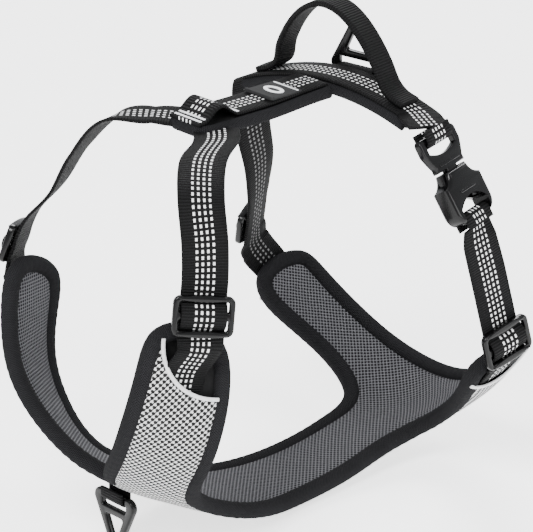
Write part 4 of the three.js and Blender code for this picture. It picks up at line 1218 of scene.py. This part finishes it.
def buckle_prong(matrix, side, body):
    reach = -PRONG_REACH
    outline = [(8.7, 0), (12.6, 0), (12.8, reach + 6), (14, reach + 4.6), (14, reach + 3), (11.6, reach),
               (10, reach), (8.7, reach + 4)]
    outline = [(side * x, y) for x, y in outline]
    obj = moulding(f"{body}_moulding", outline, [], 4, 0.7, PLASTIC, matrix)
    node = "buckle_front_prong" if side < 0 else "buckle_rear_prong"
    stand_for(obj, body, node, slot="plastic")


def arched_cutter(name, low, high, rise, depth, matrix):
    """A prism across the socket whose upper end is a shallow arch."""
    half = 13.2
    outline = [(-half, low), (half, low), (half, high)]
    outline += bezier((half, high), (2, high + 2 * rise), (-half, high), 12)
    return moulding(name, outline, [], depth, 0.01, PLASTIC, matrix)


def buckle_female(matrix):
    half, bottom = BUCKLE_WIDTH / 2, -BUCKLE_FEMALE
    right = [(9.5, -0.3)] + bezier((9.5, -0.3), (10.5, -6), (half, -8)) + [(half, bottom + 7)]
    right += bezier((half, bottom + 7), (half - 1, bottom + 1), (half - 7, bottom))
    outline = right + [(-x, y) for x, y in reversed(right)]
    obj = moulding("buckle_female_half", outline, [], BUCKLE_DEPTH, 2.4, PLASTIC, matrix)
    cutters = [
        arched_cutter("cut_window", bottom + 3.4, bottom + 8.2, 3.6, 22, matrix),
        arched_cutter("cut_front", bottom - 2, bottom + 8.2, 5.4, 11, moved(matrix, z=7.5)),
        box_object("cut_back", (26.4, 10.6, 11), (0, bottom + 3.3, -7.5), matrix),
        box_object("cut_mouth", (26.4, 11, 5), (0, -4.5, 0), matrix),
        box_object("cut_chamber", (29.4, 11, 5), (0, -14.5, 0), matrix),
    ]
    cut(obj, cutters)
    soften(obj)
    grip = rounded_rectangle(15, 1.5, 0.7, 0, -13)
    lip = moulding("female_grip", grip, [], BUCKLE_DEPTH + 1, 0.4, PLASTIC, matrix)
    stand_for(joined("buckle_female_half", [obj, lip]), "buckle_socket", "buckle_female", slot="plastic")


def buckle():
    matrix = buckle_matrix()
    buckle_male(matrix)
    buckle_prong(matrix, -1, "front_prong")
    buckle_prong(matrix, 1, "rear_prong")
    buckle_female(matrix)
    top = moved(matrix, y=BUCKLE_MALE - 2)
    obj = fold_piece("buckle_male_loop", top, 25, 5.0, 4, 4, [WEBBING])
    stand_for(obj, ROOT, "buckle_male_fold", slot="webbing")
    low = turned(moved(matrix, y=-BUCKLE_FEMALE + 1.7), 180, "Z")
    obj = fold_piece("buckle_female_loop", low, 25, 5.0, 3.4, 4, [WEBBING])
    stand_for(obj, "buckle_socket", "buckle_female_fold", slot="webbing")


# ---- stage --------------------------------------------------------------------------------------

def camera():
    azimuth, elevation, distance = math.radians(48), math.radians(21.6), 2.0
    target = Vector((0, 5, -92)) * MM
    level = math.cos(elevation)
    offset = Vector((math.sin(azimuth) * level, -math.cos(azimuth) * level, math.sin(elevation)))
    data = bpy.data.cameras.new("camera")
    data.sensor_width, data.lens = 36, 243
    obj = add_object("camera", data)
    obj.location = target + offset * distance
    obj.rotation_euler = (-offset).to_track_quat("-Z", "Y").to_euler()
    bpy.context.scene.camera = obj


def area_light(name, location, size, power):
    data = bpy.data.lights.new(name, "AREA")
    data.size, data.energy = size, power
    obj = add_object(name, data)
    obj.location = location
    obj.rotation_euler = (Vector((0, 0, -0.1)) - Vector(location)).to_track_quat("-Z", "Y").to_euler()


def studio():
    shader = Shader("studio_floor", roughness=0.9)
    shader.surface.inputs["Emission Color"].default_value = (1, 1, 1, 1)
    shader.surface.inputs["Emission Strength"].default_value = 1.7
    material = shader.finish(shader.mix(shader.noise(8), grey(0.9), grey(0.94)))
    reach, level = 4000, -231
    corners = [(x * reach, y * reach, level) for x, y in ((-1, -1), (1, -1), (1, 1), (-1, 1))]
    floor = make("floor", corners, [(0, 1, 2, 3)], [material])
    world = bpy.data.worlds.new("studio")
    world.use_nodes = True
    world.node_tree.nodes["Background"].inputs[0].default_value = (0.95, 0.97, 1.0, 1)
    world.node_tree.nodes["Background"].inputs[1].default_value = 1.0
    bpy.context.scene.world = world
    area_light("key", (0.5, -1.2, 1.3), 0.8, 60)
    area_light("fill", (1.5, 0.4, 0.6), 1.0, 22)
    area_light("rim", (-1.0, 0.9, 1.1), 0.8, 30)


def build():
    surface = PlateSurface()
    chest_pad(surface)
    edge_binding(surface)
    binding_stitches(surface)
    outer_cover(surface)
    pocket_piping(surface)
    spine_pad()
    spine_binding()
    spine_webbing()
    bar_tack("arch_tack_front", ARCH_FRONT + 1.5)
    bar_tack("arch_tack_second", ARCH_FRONT - 1.5)
    bar_tack("arch_tack_rear", ARCH_REAR + 1)
    spine_label()
    band_pad()
    band_bindings()
    straps(surface)
    handle()
    rings()
    adjusters()
    buckle()
    camera()
    studio()


build()
